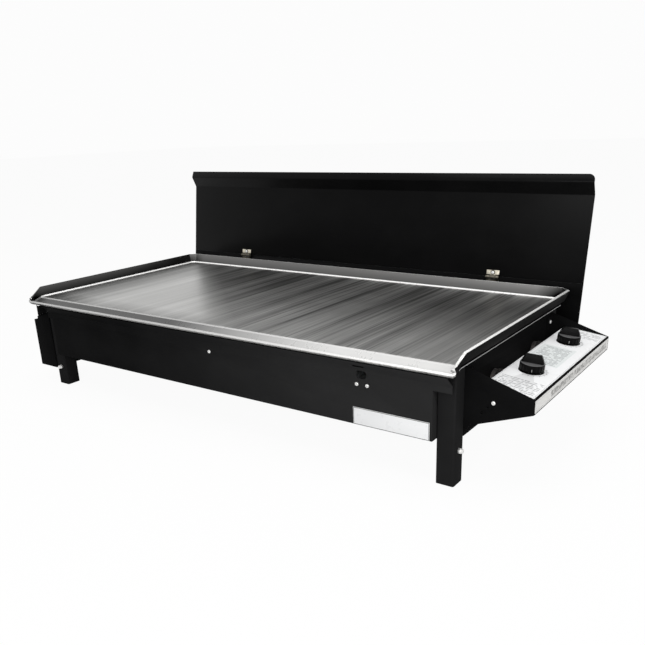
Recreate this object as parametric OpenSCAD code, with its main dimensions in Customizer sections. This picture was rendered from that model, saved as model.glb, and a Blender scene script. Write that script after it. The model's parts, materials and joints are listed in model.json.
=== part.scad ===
/* [Cooking plate] */
// Length of the cooking plate over its side flanges
plate_l = 1150; // [900:10:1400]
// Depth of the cooking plate from front lip to rear flange
plate_d = 575; // [500:5:650]
// Thickness of the steel plate
plate_t = 5; // [4:0.5:6]
// Height of the cooking surface above the ground
plate_z = 226; // [215:1:260]
// Height of the side and rear flanges above the cooking surface
flange_h = 24; // [18:1:34]
// How far a flange leans out from its foot to its top
flange_lean = 9; // [4:1:14]
// Width of the flange across each rear corner
corner_cut = 18; // [12:1:30]
// Depth of the front gutter below the cooking surface
gutter_drop = 9; // [7:0.5:11]
// Distance from the front lip to the bend where the gutter starts
gutter_w = 36; // [30:1:44]
// Flat width of the gutter bottom
gutter_flat = 7; // [5:0.5:9]
// Height of the front lip above the gutter bottom
lip_h = 5; // [3:0.5:8]
// Diameter of the fat drain hole
drain_d = 12; // [8:0.5:14]
// Distance of the drain hole from the left end of the plate
drain_x = 24; // [22:1:30]

/* [Body] */
// Thickness of the folded body sheets
sheet_t = 1.5; // [1.2:0.1:2]
// How far the side walls are set in from the plate's ends
side_inset = 18; // [14:1:24]
// How far the front and rear panels are set in from the plate's edges
panel_inset = 27; // [24:1:32]
// Height of the lower edge of the body panels above the ground
body_z = 85; // [75:1:100]
// Height of the flared band at the top of the front panel
band_h = 21; // [17:1:26]
// How far the band flares forward
band_flare = 22; // [16:1:24]
// Width of the rim turned outward round the top of the body
rim_w = 8; // [5:0.5:9]
// Width of the end returns that lie against the legs
return_w = 26; // [20:1:32]

/* [Legs] */
// Width of the square leg tube
leg_w = 35; // [30:1:40]
// Wall of the leg tube
leg_wall = 2; // [1.5:0.1:3]
// How far the legs stand back from the front and rear of the plate
leg_inset = 42; // [38:1:48]
// How far each leg can be drawn out
leg_travel = 60; // [30:5:80]
// Length of the inner leg that stays inside the leg when it is drawn out
leg_hold = 88; // [70:2:110]
// Gap between the inner and the outer leg tube
leg_gap = 0.4; // [0.3:0.05:0.6]
// Height of the lower leg bolt above the ground
leg_bolt_z = 46; // [40:1:52]
// Step between the leg bolt's two heights
leg_bolt_step = 18; // [14:1:24]

/* [Lid] */
// Distance of the lid sheet behind the plate's rear edge
lid_gap = 26; // [22:1:34]
// Lean of the open lid behind upright
lid_lean = 8.2; // [4:0.1:12]
// Height of the crease near the lid's upper edge
crease_z = 441; // [400:1:480]
// How far the lip leans forward from the lid sheet
lip_out = 17; // [8:1:20]
// Height of the lip's lower fold above the crease
lip_rise = 25; // [18:1:32]
// Height of the lip's upper edge above the crease
lip_top = 42; // [36:1:50]
// How far the lid passes each end of the cooking plate
lid_over = 14; // [6:1:20]
// Height of the lower edge of the rear guard
guard_z = 165; // [155:1:175]
// Distance of each hinge from the middle of the lid
hinge_pitch = 380; // [250:5:430]
// Width of a hinge
hinge_w = 31; // [26:1:36]
// Diameter of a hinge pin
pin_d = 4; // [3:0.5:5]

/* [Control box] */
// How far the control box stands out from the side wall
box_out = 121; // [110:1:140]
// Height of the panel's outer edge
box_z = 174; // [168:1:180]
// Fall of the control panel, as height over distance
panel_fall = 0.12; // [0.08:0.01:0.16]
// Height of the fascia below the panel's outer edge
fascia_h = 27; // [22:1:32]
// Width of the open gap between side wall and panel
panel_gap = 30; // [24:1:34]
// Position of the front face of the front gusset from the front lip
gusset_y = 78; // [77.5:0.5:84]
// Distance between the outer faces of the two gussets
gusset_span = 422; // [400:1:430]
// Distance of a knob's centre from the side wall
knob_out = 69; // [62:1:76]
// Distance of the front knob behind the front lip
knob_y = 200; // [180:1:210]
// Distance between the two knobs and the two burners
knob_pitch = 202; // [180:1:215]
// Diameter of a knob's skirt
knob_d = 44; // [38:1:50]
// Travel of a knob when it is pressed
knob_push = 3; // [2:0.25:4]

/* [Burners and gas] */
// Outside diameter of a burner tube
burner_d = 34; // [28:1:38]
// Wall of a burner tube
burner_wall = 1.5; // [1.2:0.1:2]
// Distance of the burners' middle line below the panel at the knobs
burner_drop = 25; // [22:1:28]
// Outside diameter of the gas manifold
manifold_d = 16; // [14:1:18]
// Diameter of the gas inlet's thread
inlet_d = 15.9; // [12.7:0.1:19.1]
// Length of the gas inlet's thread
inlet_l = 16; // [12:1:20]
// Diameter of a tap spindle
spindle_d = 6; // [5:0.5:8]

/* [Fat tin] */
// Width of the fat tin
tin_w = 58; // [45:1:64]
// Depth of the fat tin from front to back
tin_d = 108; // [80:1:140]
// Height of the fat tin
tin_h = 112; // [90:1:125]
// Height of the tin's floor above the ground
tin_z = 43; // [30:1:48]

/* [Hidden] */
$fn = 48;

// Gap left between parts that move past each other
run_gap = 0.3;
// Gap on the radius of a pin or spindle in its bore
pin_gap = 0.05;

// Levels of the cooking plate
plate_under = plate_z - plate_t;
flange_z = plate_z + flange_h;
gutter_z = plate_z - gutter_drop;
gutter_under = gutter_z - plate_t;
lip_z = gutter_z + lip_h;
lip_t = 3.5;
gutter_start = lip_t + 4.5;
gutter_end = gutter_start + gutter_flat;
chamfer_y = gutter_w + 4;
foot_x = flange_lean;

// Body outline
wall_l = side_inset;
wall_r = plate_l - side_inset;
panel_f = panel_inset;
panel_r = plate_d - panel_inset;
band_z = gutter_under - band_h;
ledge_w = 12;
hem = 13;

// Leg places: the outer corner of each leg
leg_f = leg_inset;
leg_r = plate_d - leg_inset - leg_w;
leg_lx = wall_l;
leg_rx = wall_r - leg_w;
leg_corner = 3.5;
foot_lift = 2;
inner_leg_l = leg_travel + leg_hold;
foot_clear = 0.5;
cap_plug = 12;
bolt_d = 6;
bolt_head_d = 11;
bolt_head_h = 4;
hole_gap = 0.2;
screw_d = 4;
screw_head_d = 7.5;
screw_head_h = 2.5;

// Details of the front panel
port_x = 955;
port_z = 182.5;
port_w = 22;
port_h = 15;
port_screw_x = [port_x - 9, port_x + 13];
port_screw_z = port_z - 18.5;
chute_shift = 2;
chute_end = knob_y - burner_d;
chute_floor = 6;
chute_wall = 18;
band_slot_w = 24;
band_slot_h = 4;
band_slot_z = band_z + 10;
badge_x = wall_r - leg_w - 160;
badge_w = 155;
badge_h = 34;
badge_t = 0.8;
rest_x = 584;
rest_screw_z = 171;
front_screws = [for (x = port_screw_x) [x, port_screw_z], [rest_x, rest_screw_z]];

// Lid plane: the distance of its front face behind the lip at a height
lid_slope = tan(lid_lean);
lid_y0 = plate_d + lid_gap;
function lid_y(z) = lid_y0 + (z - flange_z) * lid_slope;
lid_t = 1.5;
hinge_z = flange_z + 3;
knuckle_d = 9;
knuckle_share = 0.3;
leaf_t = 2;
leaf_h = 22;
leaf_top_h = 16;
leaf_screw_h = 10.5;
leaf_screw_head = 7;
base_screw_h = 14;
lid_gap_z = 2;
guard_top = hinge_z + (lid_gap_z - run_gap) * cos(lid_lean);
leaf_half = (0.5 - knuckle_share) * hinge_w - run_gap;
guard_bolt_z = guard_z - 7;
lid_x0 = -lid_over;
lid_x1 = plate_l + lid_over;
mid_x = plate_l / 2;
hinge_x = [mid_x - hinge_pitch, mid_x + hinge_pitch];
guard_bolt_x = [for (k = [-1, -1 / 3, 1 / 3, 1]) mid_x + k * hinge_pitch];
lid_corner_r = 14;

// Control box
box_x = wall_r + box_out;
gusset_t = 2;
gusset_f = gusset_y;
gusset_r = gusset_y + gusset_span;
panel_x0 = wall_r + panel_gap;
function panel_top(x) = box_z + panel_fall * (box_x - x);
panel_tilt = atan(panel_fall);
label_t = 0.3;
knob_x = wall_r + knob_out;
knob_z = panel_top(knob_x);
tap_ys = [knob_y, knob_y + knob_pitch];
tap_side = 13;
tap_top = 8;
tap_h = 34;
plug_d = 14;
gas_x = knob_x - burner_drop * sin(panel_tilt);
gas_z = knob_z - burner_drop * cos(panel_tilt);
manifold_x = box_x - sheet_t - manifold_d / 2 - 6;
manifold_face = manifold_x - manifold_d / 2 - 4;
injector_x = gas_x - tap_side - 5;

// Taps, along the line square to the panel: 0 is the panel's face
plug_z = -tap_top - tap_h + 4;
plug_h = 24;
plug_grip = 5;
spindle_z = plug_z + plug_h - plug_grip;
spring_h = 5.3;
collar_z = plug_z + plug_h + spring_h;
collar_h = 1.2;
collar_d = 11;
knob_foot = label_t + knob_push + 0.5;
knob_h = 26;
knob_skirt_h = 12;
knob_grip_w = 13;
knob_grip_top = 28;
knob_turn = 14;
knob_flutes = 20;
flute_d = 4;
flute_depth = 0.8;
spindle_top = knob_foot + 14;
gas_way_d = 4;
jet_d = 1.4;
boss_half = 9;
inlet_shank_d = 11;
inlet_hex_h = 7;
inlet_hex_d = 22;

// Burners
burner_end = injector_x - 8;
burner_start = 70;
burner_r = burner_d / 2;
tail_d = 10;
shutter_x = wall_r + 8;
shutter_w = 18;
shutter_gap = 0.25;
window_l = 10;
window_w = 12;
flame_pitch = 60;
flame_d = 4;

// Gussets and their screws, as places along and above the plate
gusset_low = body_z + 8;
gusset_flange = 26;
gusset_bolts = [[wall_r + 51.5, box_z - 18.3], [wall_r + 41.4, box_z - 27]];
gusset_hole = [wall_r + 31, box_z - 39];
gusset_hole_d = 6;
wall_bolts = [
    for (y = [gusset_f + 10, gusset_r - 10]) [y, box_z + 19],
    for (y = [gusset_f + 20, gusset_r - 20]) [y, box_z - 40]
];

// Fat tin and its bracket
tin_x1 = wall_l - sheet_t - 1.5;
tin_x0 = tin_x1 - tin_w;
tin_y0 = leg_f;
tin_sheet = 1.2;
tin_top = tin_z + tin_h;
tin_front_t = 2;
spout_x0 = tin_x0 + 13;
spout_x1 = drain_x + 13;
spout_y = [5, leg_f + 28];
spout_fall = 0.325;
spout_sink = 18;
spout_low_h = 13;
spout_high_h = 16;
spout_hole = [-6, leg_f + 16];
spout_hole_d = 18;
function spout_under(x) = gutter_under - spout_sink - spout_fall * (drain_x + 16 - x);
tin_screw_places = [for (y = [leg_f + leg_w + 15, leg_f + leg_w + 60]) [y, tin_top - 8]];

// The whole outline, which puts the origin on the ground under its middle
strip_t = 0.3;
left_most = tin_x0 - 3;
right_most = box_x + strip_t;
rear_most = lid_y(crease_z) + lid_t / cos(lid_lean);
origin_x = (left_most + right_most) / 2;
origin_y = rear_most / 2;

// Direction and corner of a folded line, for giving a sheet its thickness
function dir(a, b) = (b - a) / norm(b - a);
function side(d) = [-d[1], d[0]];
function corner(p, i, t) =
    let (n = len(p),
         a = side(i > 0 ? dir(p[i - 1], p[i]) : dir(p[i], p[i + 1])),
         b = side(i < n - 1 ? dir(p[i], p[i + 1]) : dir(p[i - 1], p[i])))
    p[i] + t * (a + b) / (1 + a * b);
function sheet_outline(p, t) = concat(p, [for (i = [len(p) - 1:-1:0]) corner(p, i, t)]);

// Solids drawn by an outline seen from the right, from the front or from above
module along_x(x0, x1) {
    translate([x0, 0, 0]) rotate([90, 0, 90]) linear_extrude(x1 - x0) children();
}
module along_y(y0, y1) {
    translate([0, y1, 0]) rotate([90, 0, 0]) linear_extrude(y1 - y0) children();
}
module box(x, y, z) {
    translate([x[0], y[0], z[0]]) cube([x[1] - x[0], y[1] - y[0], z[1] - z[0]]);
}
module rod_x(x, y, z, d) {
    translate([x[0], y, z]) rotate([0, 90, 0]) cylinder(h = x[1] - x[0], d = d);
}
module rod_y(x, y, z, d) {
    translate([x, y[1], z]) rotate([90, 0, 0]) cylinder(h = y[1] - y[0], d = d);
}
module fold_x(p, t, x) {
    along_x(x[0], x[1]) polygon(sheet_outline(p, t));
}
module fold_y(p, t, y) {
    along_y(y[0], y[1]) polygon(sheet_outline(p, t));
}
// Moves a model drawn from the plate's front left corner to the part's origin
module placed() {
    translate([-origin_x, -origin_y, 0]) children();
}
module mirror_x() {
    translate([plate_l, 0, 0]) mirror([1, 0, 0]) children();
}
module mirror_y() {
    translate([0, plate_d, 0]) mirror([0, 1, 0]) children();
}
// A screw head and shank whose head rests on the face at the origin, pointing along +Z
module screw(head_d, head_h, shank_d, shank_l) {
    cylinder(h = head_h, d = head_d);
    translate([0, 0, -shank_l]) cylinder(h = shank_l + 0.01, d = shank_d);
}

module cooking_plate() {
    color([0.72, 0.71, 0.69]) placed() difference() {
        union() {
            difference() {
                union() {
                    along_x(foot_x, plate_l - foot_x) polygon(plate_profile());
                    mirror_y() along_x(0, plate_l) polygon(flange_profile());
                    side_flange();
                    mirror_x() side_flange();
                    box([0, plate_l], [0, lip_t], [gutter_under, lip_z]);
                }
                rear_corner_cut();
                mirror_x() rear_corner_cut();
            }
            rear_corner_flange();
            mirror_x() rear_corner_flange();
        }
        translate([drain_x, (gutter_start + gutter_end) / 2, gutter_under - 1])
            cylinder(h = plate_t + 2, d = min(drain_d, 2 * (drain_x - foot_x - 3)));
    }
}
// The plate seen from the right, and a flange seen from the front
function plate_profile() = [
    [0, lip_z], [lip_t, lip_z], [gutter_start, gutter_z], [gutter_end, gutter_z], [gutter_w, plate_z],
    [plate_d - foot_x, plate_z], [plate_d - foot_x, plate_under],
    [gutter_w, plate_under], [gutter_end, gutter_under], [0, gutter_under]
];
function flange_profile() = [
    [foot_x, plate_under], [0, flange_z], [plate_t, flange_z], [foot_x + plate_t, plate_under]
];
// A side flange: a straight run, then a cheek that falls to the end of the front lip
module side_flange() {
    lip_end = [[0, gutter_under], [0, lip_z], [plate_t, lip_z], [foot_x + plate_t, gutter_under]];
    along_y(chamfer_y, plate_d) polygon(flange_profile());
    loft([for (p = lip_end) [p[0], 0, p[1]]], [for (p = flange_profile()) [p[0], chamfer_y, p[1]]]);
}
// A solid between two outlines of as many points, both anticlockwise as seen from the second
module loft(a, b) {
    n = len(a);
    polyhedron(
        points = concat(a, b),
        faces = concat(
            [[for (i = [0:n - 1]) i]],
            [[for (i = [n - 1:-1:0]) n + i]],
            [for (i = [0:n - 1]) [i, n + i, n + (i + 1) % n, (i + 1) % n]]
        )
    );
}
// The rear left corner: the crossing ends of two flanges go, and a short flange takes their place
function corner_line(z) = corner_cut + flange_lean * sqrt(2) * (flange_z - z) / (flange_z - plate_under);
module rear_corner_flange() {
    loft(corner_section(0, plate_under), corner_section(1, flange_z));
}
function corner_section(up, z) =
    let (out = foot_x * (1 - up), in = out + plate_t, line = corner_line(z),
         deep = line + plate_t * sqrt(2), lap = 4)
    [
        [out, plate_d + out - line - lap, z], [in, plate_d + in - deep, z],
        [deep - in, plate_d - in, z], [line - out + lap, plate_d - out, z],
        [line - out, plate_d - out, z], [out, plate_d + out - line, z]
    ];
module rear_corner_cut() {
    loft(corner_wedge(plate_under - 1), corner_wedge(flange_z + 1));
}
function corner_wedge(z) =
    let (x0 = -5, line = corner_line(z) + 3, far = line + 8, y0 = plate_d + x0 - line)
    [[x0, y0, z], [x0 + far, y0 + far, z], [x0, y0 + far, z]];

// The front panel seen from the right: hem, upright face, flared band and ledge under the gutter
module front_panel() {
    face = [[panel_f + hem, body_z], [panel_f, body_z], [panel_f, band_z]];
    band = [
        [panel_f, band_z - hem], [panel_f, band_z], [panel_f - band_flare, gutter_under],
        [panel_f - band_flare + ledge_w, gutter_under]
    ];
    color([0.06, 0.06, 0.06]) placed() {
        difference() {
            union() {
                fold_x(face, -sheet_t, [wall_l + leg_w, wall_r - leg_w]);
                fold_x(band, -sheet_t, [drain_x + 14, wall_r]);
                panel_return(panel_f, leg_f + return_w, band_z);
            }
            lighting_port();
            box([port_x - band_slot_w / 2, port_x + band_slot_w / 2], [-1, panel_f + 1],
                [band_slot_z - band_slot_h / 2, band_slot_z + band_slot_h / 2]);
            for (p = front_screws) rod_y(p[0], [panel_f - 1, panel_f + 3], p[1], screw_d + hole_gap);
        }
        slot_shield();
    }
}
// A small angle welded behind the slot in the band, so that nothing shows through it
module slot_shield() {
    low = band_slot_z - band_slot_h;
    y0 = panel_f - band_flare * (low - band_z) / band_h;
    fold_x([[y0 + 1.5, low], [y0 + 2 * band_slot_h, low], [y0 + 2 * band_slot_h, low + 2.5 * band_slot_h]],
        -1, [port_x - band_slot_w / 2 - 8, port_x + band_slot_w / 2 + 8]);
}
// The returns at both ends of a panel, which lie against the legs and are welded to them
module panel_return(y0, y1, top) {
    for (x = [wall_l + leg_w, wall_r - leg_w - sheet_t]) {
        box([x, x + sheet_t], [y0, y1], [body_z, top]);
    }
}
// The oval port, through which the burners are lit
module lighting_port() {
    reach = (port_w - port_h) / 2;
    for (x = [-reach, reach]) rod_y(port_x + x, [panel_f - 1, panel_f + 3], port_z, port_h);
    box([port_x - reach, port_x + reach], [panel_f - 1, panel_f + 3],
        [port_z - port_h / 2, port_z + port_h / 2]);
}

// The rear panel seen from the right, with its rim turned outward under the plate
module rear_panel() {
    face = [
        [panel_r - hem, body_z], [panel_r, body_z], [panel_r, plate_under - sheet_t],
        [panel_r + rim_w, plate_under - sheet_t]
    ];
    color([0.05, 0.05, 0.05]) placed() difference() {
        union() {
            fold_x(face, sheet_t, [wall_l + leg_w, wall_r - leg_w]);
            panel_return(leg_r + leg_w - return_w, panel_r, plate_under - sheet_t);
        }
        rod_y(rest_x, [panel_r - 3, panel_r + 1], rest_screw_z, screw_d + hole_gap);
        for (x = guard_bolt_x) rod_y(x, [panel_r - 3, panel_r + 1], guard_bolt_z, bolt_d + hole_gap);
    }
}

// A side wall drawn for the left end, seen from the front
module side_wall() {
    face = [
        [wall_l + hem, body_z], [wall_l, body_z], [wall_l, plate_under - sheet_t],
        [wall_l - rim_w, plate_under - sheet_t]
    ];
    rim = [[gutter_end, gutter_under], [chamfer_y, plate_under], [leg_r + leg_w, plate_under]];
    fold_y(face, -sheet_t, [leg_f + leg_w, leg_r]);
    fold_x(rim, -sheet_t, [wall_l - rim_w, wall_l]);
    for (y = [leg_f + leg_w, leg_r - sheet_t]) {
        box([wall_l, wall_l + return_w], [y, y + sheet_t], [body_z, plate_under - hem]);
    }
}
module left_side() {
    color([0.05, 0.05, 0.05]) placed() difference() {
        side_wall();
        for (y = tap_ys) rod_x([wall_l - 1, wall_l + 3], y, gas_z, tail_d + 2 * hole_gap);
        for (p = tin_screw_places) rod_x([wall_l - 1, wall_l + 3], p[0], p[1], screw_d + hole_gap);
    }
}
module right_side() {
    color([0.05, 0.05, 0.05]) placed() difference() {
        mirror_x() side_wall();
        for (y = tap_ys) rod_x([wall_r - 3, wall_r + 1], y, gas_z, burner_d + 2 * hole_gap);
        for (p = wall_bolts) rod_x([wall_r - 3, wall_r + 1], p[0], p[1], screw_d + hole_gap);
    }
}

// A square bar with rounded corners
module square_bar(x, y, z, r) {
    box([x[0] + r, x[1] - r], y, z);
    box(x, [y[0] + r, y[1] - r], z);
    for (cx = [x[0] + r, x[1] - r], cy = [y[0] + r, y[1] - r]) translate([cx, cy, z[0]])
        cylinder(h = z[1] - z[0], r = r, $fn = 32);
}
// A square tube that stands on the ground, with one clamp bolt's hole on the side it names
module leg(x, y, bolt_dir, bolt_z) {
    color([0.07, 0.07, 0.07]) placed() difference() {
        square_bar([x, x + leg_w], [y, y + leg_w], [0, plate_under], leg_corner);
        box([x + leg_wall, x + leg_w - leg_wall], [y + leg_wall, y + leg_w - leg_wall], [-1, plate_under + 1]);
        leg_bolt_place(x, y, bolt_dir, bolt_z) translate([0, 0, -leg_wall - 1])
            cylinder(h = leg_wall + 2, d = bolt_d + hole_gap);
    }
}
// Stands a bolt drawn along +Z on the face of a leg that looks along bolt_dir
module leg_bolt_place(x, y, bolt_dir, z) {
    half = leg_w / 2;
    translate([x + half + bolt_dir[0] * half, y + half + bolt_dir[1] * half, z])
        rotate([0, 90, atan2(bolt_dir[1], bolt_dir[0])]) children();
}
module leg_front_left() { leg(leg_lx, leg_f, [0, -1], leg_bolt_z); }
module leg_front_right() { leg(leg_rx, leg_f, [1, 0], leg_bolt_z + leg_bolt_step); }
module leg_rear_left() { leg(leg_lx, leg_r, [-1, 0], leg_bolt_z); }
module leg_rear_right() { leg(leg_rx, leg_r, [0, 1], leg_bolt_z + leg_bolt_step); }

module inner_leg(x, y) {
    inset = leg_wall + leg_gap;
    color([0.09, 0.09, 0.09]) placed() difference() {
        square_bar([x + inset, x + leg_w - inset], [y + inset, y + leg_w - inset], [foot_lift, inner_leg_l],
            leg_corner - leg_gap);
        box([x + inset + leg_wall, x + leg_w - inset - leg_wall],
            [y + inset + leg_wall, y + leg_w - inset - leg_wall], [foot_lift - 1, inner_leg_l + 1]);
    }
}
module inner_leg_front_left() { inner_leg(leg_lx, leg_f); }
module inner_leg_front_right() { inner_leg(leg_rx, leg_f); }
module inner_leg_rear_left() { inner_leg(leg_lx, leg_r); }
module inner_leg_rear_right() { inner_leg(leg_rx, leg_r); }

// A plastic cap: a plug inside the inner leg and a flat sole under its end
module foot_cap(x, y) {
    inset = leg_wall + leg_gap;
    color([0.08, 0.08, 0.08]) placed() {
        square_bar([x + inset, x + leg_w - inset], [y + inset, y + leg_w - inset], [foot_clear, foot_lift],
            leg_corner - leg_gap);
        box([x + inset + leg_wall, x + leg_w - inset - leg_wall],
            [y + inset + leg_wall, y + leg_w - inset - leg_wall], [foot_lift, foot_lift + cap_plug]);
    }
}
module foot_cap_front_left() { foot_cap(leg_lx, leg_f); }
module foot_cap_front_right() { foot_cap(leg_rx, leg_f); }
module foot_cap_rear_left() { foot_cap(leg_lx, leg_r); }
module foot_cap_rear_right() { foot_cap(leg_rx, leg_r); }

// The clamp bolts in their welded nuts, whose tips stop just short of the inner legs
module leg_bolts() {
    color([0.75, 0.74, 0.72]) placed() {
        leg_bolt_place(leg_lx, leg_f, [0, -1], leg_bolt_z) clamp_bolt();
        leg_bolt_place(leg_rx, leg_f, [1, 0], leg_bolt_z + leg_bolt_step) clamp_bolt();
        leg_bolt_place(leg_lx, leg_r, [-1, 0], leg_bolt_z) clamp_bolt();
        leg_bolt_place(leg_rx, leg_r, [0, 1], leg_bolt_z + leg_bolt_step) clamp_bolt();
    }
}
module clamp_bolt() {
    cylinder(h = bolt_head_h, d = bolt_head_d, $fn = 6);
    translate([0, 0, bolt_head_h - 0.01]) cylinder(h = bolt_head_h, d = bolt_head_d - 1.5, $fn = 6);
    translate([0, 0, -leg_wall - leg_gap / 2]) cylinder(h = leg_wall + leg_gap, d = bolt_d);
}

// The bare badge plate low on the front panel
module badge_plate() {
    color([0.93, 0.93, 0.92]) placed()
        box([badge_x, badge_x + badge_w], [panel_f - badge_t, panel_f], [body_z, body_z + badge_h]);
}
// A sloping tray behind the port, which leads a flame to the burner
module lighting_chute() {
    half = port_w / 2 + 3;
    floor_line = [
        [panel_f + sheet_t, port_screw_z - 6], [panel_f + sheet_t, port_z - port_h / 2 - 2],
        [chute_end, gas_z + burner_d / 2 + chute_floor]
    ];
    color([0.55, 0.55, 0.53]) placed() difference() {
        union() {
            fold_x(floor_line, -1, [port_x + chute_shift - half, port_x + chute_shift + half]);
            for (x = [port_x + chute_shift - half, port_x + chute_shift + half - 1]) along_x(x, x + 1) polygon([
                [panel_f + sheet_t, port_z - port_h / 2 - 2], [chute_end, gas_z + burner_d / 2 + chute_floor],
                [chute_end, gas_z + burner_d / 2 + chute_wall], [panel_f + sheet_t, port_z + port_h / 2 + 2]
            ]);
        }
        for (x = port_screw_x) rod_y(x, [panel_f, panel_f + 5], port_screw_z, screw_d + hole_gap);
    }
}
module panel_screws() {
    color([0.85, 0.85, 0.84]) placed() {
        for (p = front_screws) translate([p[0], panel_f, p[1]]) rotate([90, 0, 0])
            screw(screw_head_d, screw_head_h, screw_d, 6);
        translate([rest_x, panel_r, rest_screw_z]) rotate([-90, 0, 0])
            screw(screw_head_d, screw_head_h, screw_d, 6);
    }
}

// A gusset seen from the front: it carries the control box off the side wall
module gusset(y, flange_dir) {
    outline = [
        [wall_r, plate_under - 9], [box_x, box_z], [box_x, box_z - fascia_h],
        [wall_r + 11, gusset_low + 14], [wall_r, gusset_low]
    ];
    flange_y = flange_dir > 0 ? [y + gusset_t, y + gusset_flange] : [y - gusset_flange + gusset_t, y];
    along_y(y, y + gusset_t) polygon(outline);
    box([wall_r, wall_r + gusset_t], flange_y, [gusset_low + 20, plate_under - 16]);
}
module front_gusset() {
    color([0.05, 0.05, 0.05]) placed() difference() {
        gusset(gusset_f, 1);
        for (p = gusset_bolts) rod_y(p[0], [gusset_f - 1, gusset_f + 3], p[1], screw_d + hole_gap);
        rod_y(gusset_hole[0], [gusset_f - 1, gusset_f + 3], gusset_hole[1], gusset_hole_d);
        for (p = wall_bolts) rod_x([wall_r - 1, wall_r + 3], p[0], p[1], screw_d + hole_gap);
    }
}
module rear_gusset() {
    color([0.05, 0.05, 0.05]) placed() difference() {
        gusset(gusset_r - gusset_t, -1);
        for (p = gusset_bolts) rod_y(p[0], [gusset_r - 3, gusset_r + 1], p[1], screw_d + hole_gap);
        for (p = wall_bolts) rod_x([wall_r - 1, wall_r + 3], p[0], p[1], screw_d + hole_gap);
        rod_y(manifold_x, [gusset_r - 3, gusset_r + 1], gas_z, inlet_shank_d + hole_gap);
    }
}

// The control panel seen from the front: inner hem, sloping face, fascia and lower hem
module control_panel() {
    low = box_z - fascia_h;
    face = [
        [panel_x0, panel_top(panel_x0) - 10], [panel_x0, panel_top(panel_x0)], [box_x, box_z],
        [box_x, low], [box_x - 10, low]
    ];
    end = [
        [panel_x0, panel_top(panel_x0) - 1], [box_x - 1, box_z - 1],
        [box_x - 1, low + 1], [panel_x0 + 4, low - 4]
    ];
    y0 = gusset_f + gusset_t;
    y1 = gusset_r - gusset_t;
    color([0.06, 0.06, 0.06]) placed() difference() {
        union() {
            fold_y(face, -sheet_t, [y0, y1]);
            for (y = [y0, y1 - sheet_t]) along_y(y, y + sheet_t) polygon(end);
        }
        for (y = tap_ys) on_panel(y) translate([0, 0, -5]) cylinder(h = 10, d = spindle_d + 4);
        rod_y(manifold_x, [y0 - 1, y1 + 1], gas_z, manifold_d + 2 * hole_gap);
        for (p = gusset_bolts) rod_y(p[0], [y0 - 1, y1 + 1], p[1], screw_d + hole_gap);
    }
}
// Stands a piece drawn along +Z square to the control panel at a knob
module on_panel(y) {
    translate([knob_x, y, knob_z]) rotate([0, panel_tilt, 0]) children();
}
module panel_label() {
    edge = 1;
    x0 = panel_x0 + edge;
    x1 = box_x - 3 * edge;
    color([0.86, 0.87, 0.87]) placed() difference() {
        along_y(gusset_f + gusset_t + edge, gusset_r - gusset_t - edge) polygon([
            [x0, panel_top(x0)], [x1, panel_top(x1)],
            [x1, panel_top(x1) + label_t], [x0, panel_top(x0) + label_t]
        ]);
        for (y = tap_ys) on_panel(y) translate([0, 0, -5]) cylinder(h = 10, d = spindle_d + 4);
    }
}
module fascia_strip() {
    color([0.80, 0.80, 0.78]) placed() box(
        [box_x, box_x + strip_t], [gusset_f + gusset_t + 1, gusset_r - gusset_t - 1],
        [box_z - fascia_h + 2, box_z - 3]);
}
// Screws through the gussets into the panel's ends, whose second holes stay empty, and through the
// gussets' flanges into the wall
module box_bolts() {
    p = gusset_bolts[0];
    color([0.80, 0.80, 0.79]) placed() {
        translate([p[0], gusset_f, p[1]]) rotate([90, 0, 0]) screw(screw_head_d, screw_head_h, screw_d, 6);
        translate([p[0], gusset_r, p[1]]) rotate([-90, 0, 0]) screw(screw_head_d, screw_head_h, screw_d, 6);
        for (q = wall_bolts) translate([wall_r + gusset_t, q[0], q[1]]) rotate([0, 90, 0])
            screw(screw_head_d, screw_head_h, screw_d, 6);
    }
}

// The gas manifold: a closed tube with a boss for each tap
module gas_manifold() {
    y0 = gusset_f + gusset_t;
    y1 = gusset_r - gusset_t;
    color([0.62, 0.52, 0.30]) placed() difference() {
        union() {
            rod_y(manifold_x, [y0, y1], gas_z, manifold_d);
            for (y = tap_ys) box([manifold_face, manifold_x], [y - boss_half, y + boss_half],
                [gas_z - boss_half, gas_z + boss_half]);
        }
        rod_y(manifold_x, [y0 + 4, y1 + 1], gas_z, inlet_shank_d);
        for (y = tap_ys) rod_x([manifold_face - 1, manifold_x], y, gas_z, gas_way_d);
    }
}
// The gas inlet: a shank in the manifold, a hexagon outside the gusset and the hose thread
module gas_inlet() {
    color([0.75, 0.62, 0.35]) placed() difference() {
        union() {
            rod_y(manifold_x, [gusset_r - 14, gusset_r + 1], gas_z, inlet_shank_d);
            translate([manifold_x, gusset_r, gas_z]) rotate([-90, 0, 0])
                cylinder(h = inlet_hex_h, d = inlet_hex_d, $fn = 6);
            rod_y(manifold_x, [gusset_r + inlet_hex_h, gusset_r + inlet_hex_h + inlet_l], gas_z, inlet_d);
        }
        rod_y(manifold_x, [gusset_r - 15, gusset_r + 60], gas_z, 7);
    }
}

// A brass tap: a body with a bore square to the panel, joined to the manifold and the injector
module tap_body(y) {
    color([0.72, 0.60, 0.34]) placed() difference() {
        union() {
            on_panel(y) translate([0, 0, -tap_top - tap_h]) cylinder(h = tap_h, r = tap_side);
            box([gas_x, manifold_face], [y - boss_half, y + boss_half], [gas_z - boss_half, gas_z + boss_half]);
            rod_x([injector_x, gas_x], y, gas_z, 14);
        }
        on_panel(y) translate([0, 0, plug_z - run_gap]) cylinder(h = tap_h, d = plug_d + 2 * pin_gap);
        rod_x([injector_x - 1, manifold_face + 1], y, gas_z, gas_way_d);
    }
}
module tap_body_front() { tap_body(tap_ys[0]); }
module tap_body_rear() { tap_body(tap_ys[1]); }

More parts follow.
